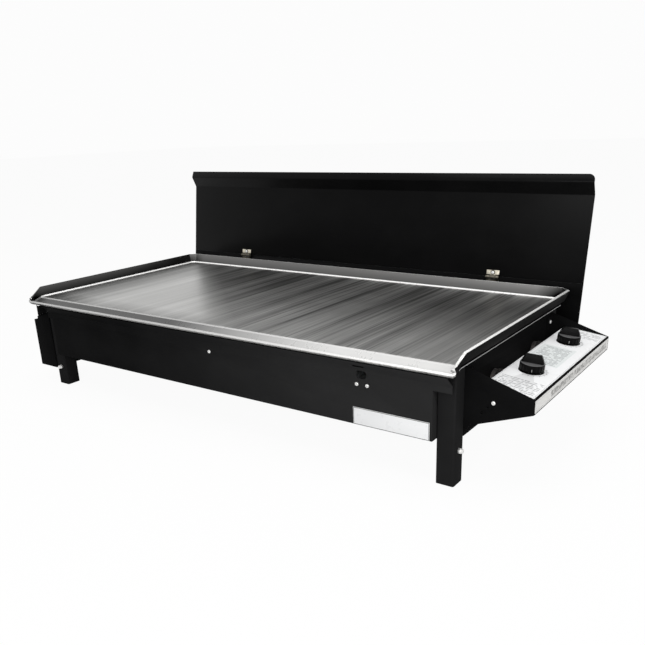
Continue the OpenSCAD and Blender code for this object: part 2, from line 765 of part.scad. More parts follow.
// The turning plug inside a tap, with its cross hole and a socket for the spindle
module tap_plug(y) {
    color([0.70, 0.57, 0.32]) placed() difference() {
        on_panel(y) translate([0, 0, plug_z]) cylinder(h = plug_h, d = plug_d);
        on_panel(y) translate([0, 0, spindle_z - knob_push - run_gap])
            cylinder(h = plug_h, d = spindle_d + 2 * pin_gap);
        translate([gas_x, y, gas_z]) rotate([0, panel_tilt, 0]) rotate([90, 0, 0])
            cylinder(h = 2 * plug_d, d = gas_way_d, center = true);
    }
}
module tap_plug_front() { tap_plug(tap_ys[0]); }
module tap_plug_rear() { tap_plug(tap_ys[1]); }

// The spring that lifts a spindle, a plain sleeve between the plug and the spindle's collar
module tap_spring(y) {
    color([0.60, 0.60, 0.60]) placed() on_panel(y) translate([0, 0, plug_z + plug_h]) difference() {
        cylinder(h = spring_h, d = collar_d);
        translate([0, 0, -1]) cylinder(h = spring_h + 2, d = spindle_d + 1.5);
    }
}
module tap_spring_front() { tap_spring(tap_ys[0]); }
module tap_spring_rear() { tap_spring(tap_ys[1]); }

module tap_spindle(y) {
    color([0.72, 0.60, 0.36]) placed() on_panel(y) {
        translate([0, 0, spindle_z]) cylinder(h = spindle_top - spindle_z, d = spindle_d);
        translate([0, 0, collar_z]) cylinder(h = collar_h, d = collar_d);
    }
}
module tap_spindle_front() { tap_spindle(tap_ys[0]); }
module tap_spindle_rear() { tap_spindle(tap_ys[1]); }

// A moulded knob: a fluted skirt with a ledge, and a grip bar with slanted ends across it
module knob(y) {
    r = knob_d / 2;
    color([0.03, 0.03, 0.03]) placed() on_panel(y) translate([0, 0, knob_foot]) difference() {
        union() {
            rotate_extrude() polygon([
                [0, 0], [r, 0], [r, knob_skirt_h - 3], [r - 1.5, knob_skirt_h], [0, knob_skirt_h + 0.5]
            ]);
            rotate([0, 0, knob_turn]) along_y(-knob_grip_w / 2, knob_grip_w / 2) polygon([
                [2.5 - r, knob_skirt_h - 1], [r - 2.5, knob_skirt_h - 1], [r - 3, knob_skirt_h + 3],
                [knob_grip_top / 2, knob_h], [-knob_grip_top / 2, knob_h], [3 - r, knob_skirt_h + 3]
            ]);
        }
        translate([0, 0, -1]) cylinder(h = spindle_top - knob_foot + 1, d = spindle_d);
        for (i = [0:knob_flutes - 1]) rotate([0, 0, i * 360 / knob_flutes])
            translate([r + flute_d / 2 - flute_depth, 0, -1])
                cylinder(h = knob_skirt_h - 2, d = flute_d, $fn = 16);
    }
}
module knob_front() { knob(tap_ys[0]); }
module knob_rear() { knob(tap_ys[1]); }

// The injector: a hexagon on the tap and a nose that points into the burner
module injector(y) {
    color([0.74, 0.62, 0.36]) placed() difference() {
        union() {
            translate([injector_x - 6, y, gas_z]) rotate([0, 90, 0]) cylinder(h = 6, d = 12, $fn = 6);
            rod_x([burner_end - 4, injector_x - 5], y, gas_z, 7);
        }
        rod_x([burner_end - 5, injector_x + 1], y, gas_z, jet_d);
    }
}
module injector_front() { injector(tap_ys[0]); }
module injector_rear() { injector(tap_ys[1]); }

// A burner: a long tube with flame ports along both sides, air windows and a tail pin
module burner(y) {
    color([0.45, 0.43, 0.41]) placed() difference() {
        union() {
            rod_x([burner_start, burner_end], y, gas_z, burner_d);
            rod_x([wall_l - 6, burner_start + 1], y, gas_z, tail_d);
        }
        rod_x([burner_start + 3, burner_end + 1], y, gas_z, burner_d - 2 * burner_wall);
        for (x = [burner_start + 50:flame_pitch:wall_r - 60]) {
            rod_y(x, [y - burner_d, y + burner_d], gas_z + 5, flame_d);
        }
        air_windows(y, 0);
    }
}
// Two windows through the top and bottom of a tube at the air shutter
module air_windows(y, grow) {
    box([shutter_x + 4 - grow, shutter_x + 4 + window_l + grow],
        [y - window_w / 2 - grow, y + window_w / 2 + grow],
        [gas_z - burner_d, gas_z + burner_d]);
}
module burner_front() { burner(tap_ys[0]); }
module burner_rear() { burner(tap_ys[1]); }

module air_shutter(y) {
    color([0.60, 0.60, 0.60]) placed() difference() {
        rod_x([shutter_x, shutter_x + shutter_w], y, gas_z, burner_d + 2 * shutter_gap + 3);
        rod_x([shutter_x - 1, shutter_x + shutter_w + 1], y, gas_z, burner_d + 2 * shutter_gap);
        air_windows(y, 0.5);
    }
}
module air_shutter_front() { air_shutter(tap_ys[0]); }
module air_shutter_rear() { air_shutter(tap_ys[1]); }

// The rest under the burners: an upright bar between the panels with a cradle for each tube
module burner_rest() {
    y0 = panel_f + sheet_t;
    y1 = panel_r - sheet_t;
    top = rest_screw_z + 8;
    color([0.50, 0.49, 0.47]) placed() difference() {
        union() {
            box([rest_x + 9, rest_x + 11], [y0, y1], [gas_z - burner_d, top]);
            for (y = [y0, y1 - 2]) box([rest_x - 11, rest_x + 11], [y, y + 2], [rest_screw_z - 12, top]);
        }
        for (y = tap_ys) {
            rod_x([rest_x, rest_x + 20], y, gas_z, burner_d + 2 * pin_gap);
            box([rest_x, rest_x + 20], [y - burner_r - pin_gap, y + burner_r + pin_gap], [gas_z, top + 1]);
        }
        rod_y(rest_x, [y0 - 1, y1 + 1], rest_screw_z, screw_d + hole_gap);
    }
}

// The rear guard seen from the right: a tab on the rear panel, a shelf and a leaning back, which is
// cut out behind the knuckles that turn with the lid
module rear_guard() {
    path = [
        [panel_r, guard_z - 14], [panel_r, guard_z], [lid_y(guard_z), guard_z], [lid_y(guard_top), guard_top]
    ];
    color([0.03, 0.03, 0.03]) placed() difference() {
        fold_x(path, -lid_t, [lid_x0, lid_x1]);
        for (x = guard_bolt_x) rod_y(x, [panel_r - 1, panel_r + 3], guard_bolt_z, bolt_d + hole_gap);
        on_lid() for (x = hinge_x) {
            leaf_hole(x, -base_screw_h);
            box([x - leaf_half - 1, x + leaf_half + 1], [-1, lid_t + 1], [-knuckle_d / 2 - 0.5, knuckle_d]);
        }
    }
}
// Bolts through the guard's tab into the rear panel, and screws through the hinges' lower leaves
module guard_bolts() {
    color([0.55, 0.55, 0.54]) placed() {
        for (x = guard_bolt_x) translate([x, panel_r + lid_t, guard_bolt_z]) rotate([-90, 0, 0]) {
            cylinder(h = bolt_head_h, d = bolt_head_d, $fn = 6);
            translate([0, 0, -8]) cylinder(h = 8.01, d = bolt_d);
        }
        on_lid() for (x = hinge_x) leaf_screw(x, -base_screw_h);
    }
}

// Stands a piece on the lid's leaning front face: +Z up the sheet, +Y behind it, 0 at the hinge
module on_lid() {
    translate([0, lid_y(hinge_z), hinge_z]) rotate([-lid_lean, 0, 0]) children();
}
module knuckle(x0, x1) {
    rod_x([x0, x1], -knuckle_d / 2, 0, knuckle_d);
}
module pin_bore(x) {
    rod_x([x - hinge_w, x + hinge_w], -knuckle_d / 2, 0, pin_d + 2 * pin_gap);
}
// The lower leaves, fixed to the guard, each with a knuckle at both ends
module hinge_bases() {
    color([0.66, 0.62, 0.52]) placed() on_lid() for (x = hinge_x) difference() {
        union() {
            for (e = [[-0.5, -0.5 + knuckle_share], [0.5 - knuckle_share, 0.5]]) {
                knuckle(x + e[0] * hinge_w, x + e[1] * hinge_w);
                box([x + e[0] * hinge_w, x + e[1] * hinge_w], [-leaf_t, 0], [-7, 0]);
            }
            box([x - hinge_w / 2, x + hinge_w / 2], [-leaf_t, 0], [-leaf_h, -6.5]);
        }
        pin_bore(x);
        leaf_hole(x, -base_screw_h);
    }
}
module hinge_pins() {
    color([0.70, 0.68, 0.62]) placed() on_lid() for (x = hinge_x) {
        rod_x([x - hinge_w / 2 - 1, x + hinge_w / 2 + 1], -knuckle_d / 2, 0, pin_d);
    }
}
// The upper leaves, fixed to the lid, each with one knuckle in the middle
module hinge_leaves() {
    color([0.70, 0.66, 0.54]) placed() on_lid() for (x = hinge_x) difference() {
        union() {
            knuckle(x - leaf_half, x + leaf_half);
            box([x - leaf_half, x + leaf_half], [-leaf_t, 0], [0, 7]);
            box([x - hinge_w / 2, x + hinge_w / 2], [-leaf_t, 0], [6, leaf_top_h]);
        }
        pin_bore(x);
        leaf_hole(x, leaf_screw_h);
    }
}

// The lid seen from the right: a leaning sheet, a crease and a lip that leans forward
module lid_panel() {
    h = crease_z - hinge_z;
    path = [
        [0, lid_gap_z], [0, h / cos(lid_lean)], [-lip_out, h / cos(lid_lean) + lip_rise],
        [-lip_out + 5, h / cos(lid_lean) + lip_top]
    ];
    color([0.03, 0.03, 0.03]) placed() on_lid() difference() {
        fold_x(path, -lid_t, [lid_x0, lid_x1]);
        lid_corner();
        for (x = hinge_x) leaf_hole(x, leaf_screw_h);
    }
}
// Rounds the lid's upper right corner
module lid_corner() {
    top = (crease_z - hinge_z) / cos(lid_lean) + lip_top + 2;
    r = lid_corner_r;
    along_y(-60, 60) difference() {
        translate([lid_x1 - r, top - r]) square(r + 1);
        translate([lid_x1 - r, top - r]) circle(r);
    }
}
// Screws through the hinges' upper leaves into the lid
module lid_screws() {
    color([0.80, 0.78, 0.72]) placed() on_lid() for (x = hinge_x) leaf_screw(x, leaf_screw_h);
}
module leaf_screw(x, h) {
    translate([x, -leaf_t, h]) rotate([90, 0, 0]) screw(leaf_screw_head, 1.8, screw_d, leaf_t + lid_t);
}
module leaf_hole(x, h) {
    rod_y(x, [-leaf_t - 1, lid_t + 1], h, screw_d + hole_gap);
}

// The spout under the gutter's drain hole: a sloping tray that empties into the fat tin
module drain_spout() {
    x0 = spout_x0 - 10;
    x1 = spout_x1 + 3;
    wall = wall_l - run_gap;
    plan = [
        [spout_x1, spout_y[0]], [spout_x1 - 8, spout_y[0]], [spout_x0, leg_f], [spout_x0, spout_y[1]],
        [wall, spout_y[1]], [wall, leg_f], [spout_x1, leg_f]
    ];
    side_view = [
        [x0, spout_under(x0)], [x1, spout_under(x1)], [x1, gutter_under], [drain_x - 12, gutter_under],
        [-12, spout_under(-12) + spout_high_h], [x0, spout_under(x0) + spout_low_h]
    ];
    inside_view = [
        [x0, spout_under(x0) + tin_sheet], [x1, spout_under(x1) + tin_sheet], [x1, flange_z], [x0, flange_z]
    ];
    color([0.06, 0.06, 0.06]) placed() difference() {
        intersection() {
            translate([0, 0, tin_top]) linear_extrude(100) polygon(plan);
            along_y(0, 90) polygon(side_view);
        }
        intersection() {
            translate([0, 0, tin_top]) linear_extrude(100) polygon(inset(plan, -tin_sheet));
            along_y(0, 90) polygon(inside_view);
        }
        translate([spout_hole[0], spout_hole[1], tin_top]) cylinder(h = 50, d = spout_hole_d);
    }
}
function inset(p, t) = [
    for (i = [0:len(p) - 1])
        let (n = len(p),
             a = side(dir(p[(i + n - 1) % n], p[i])),
             b = side(dir(p[i], p[(i + 1) % n])))
        p[i] + t * (a + b) / (1 + a * b)
];

// The bracket round the fat tin: open in front and on top, with a hem under the tin
module tin_bracket() {
    gap = 1.5;
    x0 = tin_x0 - gap;
    x1 = tin_x1 + gap;
    y1 = tin_y0 + tin_d + gap;
    floor_z = tin_z - run_gap;
    color([0.05, 0.05, 0.05]) placed() difference() {
        box([x0 - sheet_t, x1 + sheet_t], [tin_y0, y1 + sheet_t], [floor_z - sheet_t, tin_top + 6]);
        box([x0, x1], [tin_y0 - 1, y1], [floor_z, tin_top + 7]);
        box([x0 + 8, x1 - 8], [tin_y0 - 1, y1 - 8], [floor_z - 5, tin_top]);
        for (p = tin_screw_places) rod_x([x1 - 1, x1 + 3], p[0], p[1], screw_d + hole_gap);
    }
}
module tin_screws() {
    color([0.60, 0.60, 0.59]) placed() for (p = tin_screw_places) {
        translate([wall_l + sheet_t, p[0], p[1]]) rotate([0, 90, 0])
            screw(screw_head_d, screw_head_h, screw_d, 2 * sheet_t);
    }
}
// The fat tin, an open box with a front that covers the bracket's edges and reaches up to the spout
module fat_tin() {
    wall = wall_l - run_gap;
    color([0.07, 0.07, 0.07]) placed() {
        difference() {
            box([tin_x0, tin_x1], [tin_y0, tin_y0 + tin_d], [tin_z, tin_top]);
            box([tin_x0 + tin_sheet, tin_x1 - tin_sheet], [tin_y0 + tin_sheet, tin_y0 + tin_d - tin_sheet],
                [tin_z + tin_sheet, tin_top + 1]);
        }
        along_y(tin_y0 - tin_front_t, tin_y0 - run_gap) polygon([
            [left_most, tin_z - 2], [wall, tin_z - 2], [wall, spout_under(wall) - 2 * run_gap],
            [spout_x0 - 0.5, spout_under(spout_x0) - 2 * run_gap], [spout_x0 - 0.5, tin_top + 6],
            [left_most, tin_top + 6]
        ]);
        box([tin_x0 + 5, tin_x1 - 5], [tin_y0 - 1, tin_y0 + 1], [tin_z + 1, tin_top]);
    }
}

cooking_plate();
front_panel();
rear_panel();
left_side();
right_side();
leg_front_left();
leg_front_right();
leg_rear_left();
leg_rear_right();
inner_leg_front_left();
inner_leg_front_right();
inner_leg_rear_left();
inner_leg_rear_right();
foot_cap_front_left();
foot_cap_front_right();
foot_cap_rear_left();
foot_cap_rear_right();
leg_bolts();
badge_plate();
lighting_chute();
panel_screws();
front_gusset();
rear_gusset();
control_panel();
panel_label();
fascia_strip();
box_bolts();
gas_manifold();
gas_inlet();
tap_body_front();
tap_body_rear();
injector_front();
injector_rear();
tap_plug_front();
tap_plug_rear();
tap_spring_front();
tap_spring_rear();
tap_spindle_front();
tap_spindle_rear();
knob_front();
knob_rear();
burner_front();
burner_rear();
air_shutter_front();
air_shutter_rear();
burner_rest();
rear_guard();
guard_bolts();
hinge_bases();
hinge_pins();
hinge_leaves();
lid_panel();
lid_screws();
drain_spout();
tin_bracket();
tin_screws();
fat_tin();
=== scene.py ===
import json
from math import cos, pi, radians

import bmesh
import bpy
from mathutils import Matrix, Vector


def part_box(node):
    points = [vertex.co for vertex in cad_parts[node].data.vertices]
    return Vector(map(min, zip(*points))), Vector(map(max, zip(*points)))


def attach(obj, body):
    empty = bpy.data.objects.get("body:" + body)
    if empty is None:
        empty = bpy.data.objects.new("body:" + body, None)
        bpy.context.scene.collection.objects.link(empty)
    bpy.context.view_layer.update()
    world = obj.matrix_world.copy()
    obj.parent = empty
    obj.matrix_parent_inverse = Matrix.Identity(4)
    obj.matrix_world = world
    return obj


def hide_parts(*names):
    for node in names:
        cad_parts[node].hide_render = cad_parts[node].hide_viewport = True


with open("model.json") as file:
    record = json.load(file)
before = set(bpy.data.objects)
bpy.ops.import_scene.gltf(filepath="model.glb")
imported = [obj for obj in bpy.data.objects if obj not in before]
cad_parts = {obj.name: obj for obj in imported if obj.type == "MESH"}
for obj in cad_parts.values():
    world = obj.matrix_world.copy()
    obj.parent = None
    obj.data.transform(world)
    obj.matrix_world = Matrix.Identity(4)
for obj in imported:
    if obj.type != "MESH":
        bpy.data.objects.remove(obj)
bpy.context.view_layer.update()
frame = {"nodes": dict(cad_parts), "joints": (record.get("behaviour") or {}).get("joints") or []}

# The picture: the camera of the photograph, a pale floor, and the soft light of a studio sweep.
# The photograph cuts out its ground, so floor and backdrop look white and keep a faint shadow.
scene = bpy.context.scene
scene.view_settings.view_transform = "Standard"

camera_place = (1.0124, -1.3099, 0.5989)
camera_turn = radians(36.18)
camera_dip = radians(20.4)
camera_roll = radians(-2.19)
bpy.ops.object.camera_add(location=camera_place)
camera = bpy.context.object
camera.rotation_euler = (
    Matrix.Rotation(camera_turn, 4, "Z")
    @ Matrix.Rotation(pi / 2 - camera_dip, 4, "X")
    @ Matrix.Rotation(camera_roll, 4, "Z")
).to_euler()
camera.data.sensor_width = 36.0
camera.data.lens = 40.39
camera.data.shift_y = 0.1124
camera.data.clip_start = 0.02
scene.camera = camera


def combine(tree, kind, a, b=0):
    """The number that a maths node makes of two numbers or sockets."""
    node = tree.nodes.new("ShaderNodeMath")
    node.operation = kind
    for socket, value in zip(node.inputs, (a, b)):
        if isinstance(value, (int, float)):
            socket.default_value = value
        else:
            tree.links.new(value, socket)
    return node.outputs[0]


def spread(tree, source, low, high, out_low, out_high):
    """Maps source from low..high to out_low..out_high, held at both ends."""
    node = tree.nodes.new("ShaderNodeMapRange")
    node.inputs["From Min"].default_value = low
    node.inputs["From Max"].default_value = high
    node.inputs["To Min"].default_value = out_low
    node.inputs["To Max"].default_value = out_high
    tree.links.new(source, node.inputs["Value"])
    return node.outputs["Result"]


def seen_directly(tree):
    """1 for what the camera sees, also by way of a mirror or glass, else 0."""
    path = tree.nodes.new("ShaderNodeLightPath")
    straight = combine(tree, "MAXIMUM", path.outputs["Is Camera Ray"], path.outputs["Is Transmission Ray"])
    return combine(tree, "MAXIMUM", straight, path.outputs["Is Glossy Ray"])


floor_shade = 0.86
floor_seen = 0.95
bpy.ops.mesh.primitive_plane_add(size=40, location=(0, 0, 0))
floor = bpy.context.object
floor.name = "studio_floor"
floor_white = bpy.data.materials.new("studio_floor_white")
floor_white.use_nodes = True
tree = floor_white.node_tree
skin = tree.nodes["Principled BSDF"]
skin.inputs["Base Color"].default_value = (floor_shade, floor_shade, floor_shade, 1)
skin.inputs["Roughness"].default_value = 0.9
skin.inputs["Specular IOR Level"].default_value = 0.0
glow = tree.nodes.new("ShaderNodeEmission")
glow.inputs["Color"].default_value = (1, 1, 1, 1)
mix = tree.nodes.new("ShaderNodeMixShader")
tree.links.new(combine(tree, "MULTIPLY", seen_directly(tree), floor_seen), mix.inputs["Fac"])
tree.links.new(skin.outputs["BSDF"], mix.inputs[1])
tree.links.new(glow.outputs["Emission"], mix.inputs[2])
tree.links.new(mix.outputs["Shader"], tree.nodes["Material Output"].inputs["Surface"])
floor.data.materials.append(floor_white)

air_strength = 0.28
air_seen = 0.975
world = bpy.data.worlds.new("studio_air")
world.use_nodes = True
scene.world = world
air = world.node_tree
air_light = air.nodes["Background"]
air_light.inputs["Color"].default_value = (1, 1, 1, 1)
air.links.new(spread(air, seen_directly(air), 0.0, 1.0, air_strength, air_seen), air_light.inputs["Strength"])


def soft_lamp(name, place, aim, width, power):
    """A square lamp of the given width in metres and power in watts."""
    bpy.ops.object.light_add(type="AREA", location=place)
    lamp = bpy.context.object
    lamp.name = name
    lamp.data.shape = "SQUARE"
    lamp.data.size = width
    lamp.data.energy = power
    lamp.rotation_euler = (Vector(aim) - Vector(place)).to_track_quat("-Z", "Y").to_euler()


soft_lamp("lamp_overhead", place=(0.2, -0.4, 3.2), aim=(0, 0, 0.2), width=2.6, power=58)
soft_lamp("lamp_front", place=(1.1, -2.2, 0.9), aim=(0.4, 0, 0.1), width=1.2, power=24)
soft_lamp("lamp_right", place=(3.0, -0.8, 1.6), aim=(0, 0, 0.2), width=1.6, power=24)


# The cooking plate: one sheet of mild steel, folded up at both ends and along the back, cut across the rear
# corners and bent down at the front into a gutter with a lip. Its upper side is ground bright from front to back.
plate_low, plate_high = (Vector(corner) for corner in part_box("cooking_plate"))
plate_t = 0.005
flange_h = 0.024
flange_lean = 0.009
plate_corner = 0.0151
gutter_drop = 0.009
lip_h = 0.005
lip_cut_h = 0.001
bend_r = 0.0055
rim_r = 0.0007
drain_r = 0.006
drain_from_left = 0.024
drain_from_front = 0.0115
near = 0.0004
surface_z = plate_high.z - flange_h
gutter_z = surface_z - gutter_drop
lip_top_z = gutter_z + lip_h
lip_y = plate_low.y + plate_t
gutter_front_y = plate_low.y + 0.0085
gutter_back_y = plate_low.y + 0.015
bend_y = plate_low.y + 0.036
cheek_y = plate_low.y + 0.040


def pick(mode, wanted):
    """Selects the parts that are wanted, and no others, of the mesh in edit mode."""
    bpy.ops.mesh.select_all(action="DESELECT")
    bpy.ops.mesh.select_mode(type=mode)
    shape = bmesh.from_edit_mesh(bpy.context.object.data)
    for part in {"VERT": shape.verts, "EDGE": shape.edges, "FACE": shape.faces}[mode]:
        part.select_set(bool(wanted(part)))
    shape.select_flush_mode()
    bmesh.update_edit_mesh(bpy.context.object.data)


def both_ends(edge, wanted):
    """Whether both ends of an edge lie where wanted says."""
    return all(wanted(v.co) for v in edge.verts)


def apply_place():
    """Brings the active piece's place, turn and scale into its mesh."""
    bpy.ops.object.transform_apply(location=True, rotation=True, scale=True)


def start_mesh(name):
    """Names the piece just made and opens its mesh."""
    piece = bpy.context.object
    piece.name = name
    piece.data.name = name
    bpy.ops.object.mode_set(mode="EDIT")
    return piece


def end_mesh(piece, smooth=radians(35)):
    """Brings the piece's place into its mesh and smooths its round faces."""
    apply_place()
    bpy.ops.object.shade_smooth_by_angle(angle=smooth)
    return piece


def wanted_only(piece):
    """Selects one piece and makes it the active one."""
    bpy.ops.object.select_all(action="DESELECT")
    piece.select_set(True)
    bpy.context.view_layer.objects.active = piece


def apply_modifier(piece, kind, **settings):
    """Adds a modifier with its settings and applies it."""
    modifier = piece.modifiers.new(kind.lower(), kind)
    for key, value in settings.items():
        setattr(modifier, key, value)
    bpy.context.view_layer.objects.active = piece
    bpy.ops.object.modifier_apply(modifier=modifier.name)


inner_l = plate_high.x - plate_low.x - 2 * plate_t
inner_d = plate_high.y - plate_t - lip_y
inner_middle = ((plate_low.x + plate_high.x) / 2, (lip_y + plate_high.y - plate_t) / 2, plate_high.z)
bpy.ops.mesh.primitive_plane_add(size=1, location=inner_middle)
bpy.context.object.scale = (inner_l, inner_d, 1)
apply_place()
plate = start_mesh("cooking_plate_steel")
pick("VERT", lambda v: v.co.y > 0)
bpy.ops.mesh.bevel(offset=plate_corner, segments=1, affect="VERTICES")
bpy.ops.mesh.select_all(action="SELECT")
bpy.ops.mesh.inset(thickness=flange_lean, use_even_offset=True)
bpy.ops.transform.translate(value=(0, 0, -flange_h))
pick("VERT", lambda v: v.co.z < surface_z + near and v.co.y < lip_y + 2 * flange_lean)
bpy.ops.transform.translate(value=(0, -flange_lean, 0))
pick("FACE", lambda f: all(v.co.y < lip_y + near for v in f.verts))
bpy.ops.mesh.delete(type="FACE")
for cut_y in (cheek_y, bend_y, gutter_back_y, gutter_front_y):
    bpy.ops.mesh.select_all(action="SELECT")
    bpy.ops.mesh.bisect(plane_co=(0, cut_y, 0), plane_no=(0, 1, 0))
for last_y, rise in ((gutter_back_y, gutter_z - surface_z), (lip_y, lip_top_z - gutter_z)):
    pick("VERT", lambda v: v.co.z < surface_z + near and v.co.y < last_y + near)
    bpy.ops.transform.translate(value=(0, 0, rise))
bpy.ops.mesh.select_all(action="SELECT")
cheek_foot_z = lip_top_z + lip_cut_h
bpy.ops.mesh.bisect(
    plane_co=(0, plate_low.y, cheek_foot_z), plane_no=(0, cheek_foot_z - plate_high.z, cheek_y - plate_low.y),
    clear_outer=True,
)
for end in (-1, 1):
    end_x = plate_high.x if end > 0 else plate_low.x
    foot_x = end_x - end * (plate_t + flange_lean)
    for cut_y in (bend_y, gutter_back_y, gutter_front_y, lip_y):
        flare = flange_lean * (cheek_y - cut_y) / (cheek_y - plate_low.y)
        pick("VERT", lambda v: abs(v.co.y - cut_y) < near and abs(v.co.x - foot_x) < near)
        bpy.ops.transform.translate(value=(end * flare, 0, 0))
bpy.ops.object.mode_set(mode="OBJECT")
bpy.ops.object.mode_set(mode="EDIT")


def is_bend(edge):
    """The folds: the foot of each flange and the two bends of the gutter."""
    if not both_ends(edge, lambda co: co.z < surface_z + near):
        return False
    a, b = (v.co for v in edge.verts)
    across = abs(a.y - b.y) < near
    if across and min(abs(a.y - y) for y in (lip_y, cheek_y)) < near:
        return False
    return len(edge.link_faces) == 2 and edge.calc_face_angle(0) > radians(8)


pick("EDGE", is_bend)
bpy.ops.mesh.bevel(offset=bend_r, segments=5, affect="EDGES", clamp_overlap=True)
bpy.ops.mesh.select_all(action="SELECT")
bpy.ops.mesh.remove_doubles(threshold=0.00005)
bpy.ops.mesh.normals_make_consistent(inside=False)
bpy.ops.object.mode_set(mode="OBJECT")
if plate.data.polygons[0].normal.z < 0:
    plate.data.flip_normals()
apply_modifier(plate, "SOLIDIFY", thickness=plate_t, offset=-1, use_even_offset=True)
apply_modifier(plate, "BEVEL", width=rim_r, segments=2, limit_method="ANGLE", angle_limit=radians(50))
drain_place = (plate_low.x + drain_from_left, plate_low.y + drain_from_front, gutter_z)
bpy.ops.mesh.primitive_cylinder_add(vertices=40, radius=drain_r, depth=6 * plate_t, location=drain_place)
drain_tool = bpy.context.object
apply_modifier(plate, "BOOLEAN", object=drain_tool, operation="DIFFERENCE", solver="EXACT")
bpy.data.objects.remove(drain_tool)
wanted_only(plate)
end_mesh(plate, smooth=radians(30))


def new_group(name, *outputs):
    """A shader node group with the named number outputs: its tree and its output node."""
    tree = bpy.data.node_groups.new(name, "ShaderNodeTree")
    for label in outputs:
        tree.interface.new_socket(name=label, in_out="OUTPUT", socket_type="NodeSocketFloat")
    return tree, tree.nodes.new("NodeGroupOutput")


def object_noise(tree, scale, detail=2.0, roughness=0.5):
    """Noise on the piece's own place, stretched by the three scales given in waves per metre."""
    place = tree.nodes.new("ShaderNodeTexCoord")
    stretch = tree.nodes.new("ShaderNodeMapping")
    stretch.inputs["Scale"].default_value = scale
    noise = tree.nodes.new("ShaderNodeTexNoise")
    noise.inputs["Scale"].default_value = 1.0
    noise.inputs["Detail"].default_value = detail
    noise.inputs["Roughness"].default_value = roughness
    tree.links.new(place.outputs["Object"], stretch.inputs["Vector"])
    tree.links.new(stretch.outputs["Vector"], noise.inputs["Vector"])
    return noise.outputs["Fac"]


def blend_colors(tree, mask, dark, pale):
    """A colour between dark and pale, by the mask."""
    node = tree.nodes.new("ShaderNodeMix")
    node.data_type = "RGBA"
    node.inputs[6].default_value = (*dark, 1)
    node.inputs[7].default_value = (*pale, 1)
    tree.links.new(mask, node.inputs[0])
    return node.outputs[2]


def colour_skin(tree, skin, mask, dark, pale):
    """Colours a material between dark and pale, by the mask."""
    tree.links.new(blend_colors(tree, mask, dark, pale), skin.inputs["Base Color"])


def roughen(tree, skin, source, low, high, out_low, out_high):
    """Sets a material's roughness from a pattern."""
    tree.links.new(spread(tree, source, low, high, out_low, out_high), skin.inputs["Roughness"])


def new_material(name, roughness=0.5, metallic=0.0):
    """A new material: itself, its tree and its shader."""
    mat = bpy.data.materials.new(name)
    mat.use_nodes = True
    skin = mat.node_tree.nodes["Principled BSDF"]
    skin.inputs["Roughness"].default_value = roughness
    skin.inputs["Metallic"].default_value = metallic
    return mat, mat.node_tree, skin


def place_group(tree, group):
    """The outputs of a node group, placed in a material."""
    node = tree.nodes.new("ShaderNodeGroup")
    node.node_tree = group
    return node.outputs


def bump_from(tree, skin, height, strength, distance):
    """Raises the surface by a height of at most the given distance."""
    bump = tree.nodes.new("ShaderNodeBump")
    bump.inputs["Strength"].default_value = strength
    bump.inputs["Distance"].default_value = distance
    tree.links.new(height, bump.inputs["Height"])
    tree.links.new(bump.outputs["Normal"], skin.inputs["Normal"])


# Ground steel: the belt leaves fine lines from front to back, bands where it ran harder, and a little smear. The
# bends, gutter and rims carry a painted highlight, the inner faces of the flanges a dark mill finish with painted
# shade, and the underside and the outside of the flanges are near black. How pale each part of the plate is, is
# painted light and shade set by place.
grind, grind_out = new_group("belt_grinding", "Lines", "Streaks", "Smear")
grind.links.new(object_noise(grind, (1500, 10, 1500), 3.0, 0.6), grind_out.inputs["Lines"])
wide_streaks = combine(grind, "MULTIPLY", object_noise(grind, (38, 1.1, 38), 3.0, 0.6), 0.5)
thin_streaks = combine(grind, "MULTIPLY", object_noise(grind, (210, 2.2, 210), 3.0, 0.6), 0.5)
grind.links.new(combine(grind, "ADD", wide_streaks, thin_streaks), grind_out.inputs["Streaks"])
grind.links.new(object_noise(grind, (3.0, 7.0, 3.0), 3.0, 0.55), grind_out.inputs["Smear"])


def place_axes(tree):
    """The piece's own X, Y and Z."""
    place = tree.nodes.new("ShaderNodeTexCoord")
    split = tree.nodes.new("ShaderNodeSeparateXYZ")
    tree.links.new(place.outputs["Object"], split.inputs[0])
    return split.outputs


def toward(tree, start, end, share):
    """The number a share of the way from start to end."""
    return combine(tree, "ADD", start, combine(tree, "MULTIPLY", share, combine(tree, "SUBTRACT", end, start)))


plate_steel, tree, skin = new_material("ground_plate_steel_painted_light", metallic=1.0)
ground = place_group(tree, grind)
along, deep, _ = place_axes(tree)
# The tone by place is painted reflection and shade: pale at the left end, darker near the gutter and towards the
# rear, paler towards the right.
past_pale = combine(tree, "ADD", along, combine(tree, "MULTIPLY", deep, 1.07))
ruled = spread(tree, past_pale, -0.34, -0.24, 0.0, 1.0)
from_left = spread(tree, along, -0.57, -0.40, 0.12, 0.70)
near_gutter = spread(tree, deep, bend_y, bend_y + 0.06, 0.30, 0.0)
painted_pale_level = combine(tree, "SUBTRACT", from_left, near_gutter)
from_rear = spread(tree, deep, 0.24, -0.24, 0.15, 0.40)
near_right = spread(tree, along, 0.05, 0.50, 0.0, 0.20)
painted_ruled_level = combine(tree, "ADD", from_rear, near_right)
contrast = spread(tree, past_pale, -0.33, -0.06, 0.8, 3.0)
streak = combine(tree, "MULTIPLY", combine(tree, "SUBTRACT", ground["Streaks"], 0.5), contrast)
level = toward(tree, painted_pale_level, painted_ruled_level, ruled)
held = spread(tree, combine(tree, "ADD", streak, level), 0.0, 1.0, 0.0, 1.0)
colour_skin(tree, skin, held, (0.052, 0.052, 0.050), (0.58, 0.577, 0.565))
smear = spread(tree, ground["Smear"], 0.3, 0.7, 0.0, 0.06)
tree.links.new(combine(tree, "ADD", spread(tree, held, 0.0, 1.0, 0.42, 0.28), smear), skin.inputs["Roughness"])
relief = combine(tree, "ADD", combine(tree, "MULTIPLY", ground["Lines"], 0.35), ground["Streaks"])
bump_from(tree, skin, relief, 0.3, 0.001)

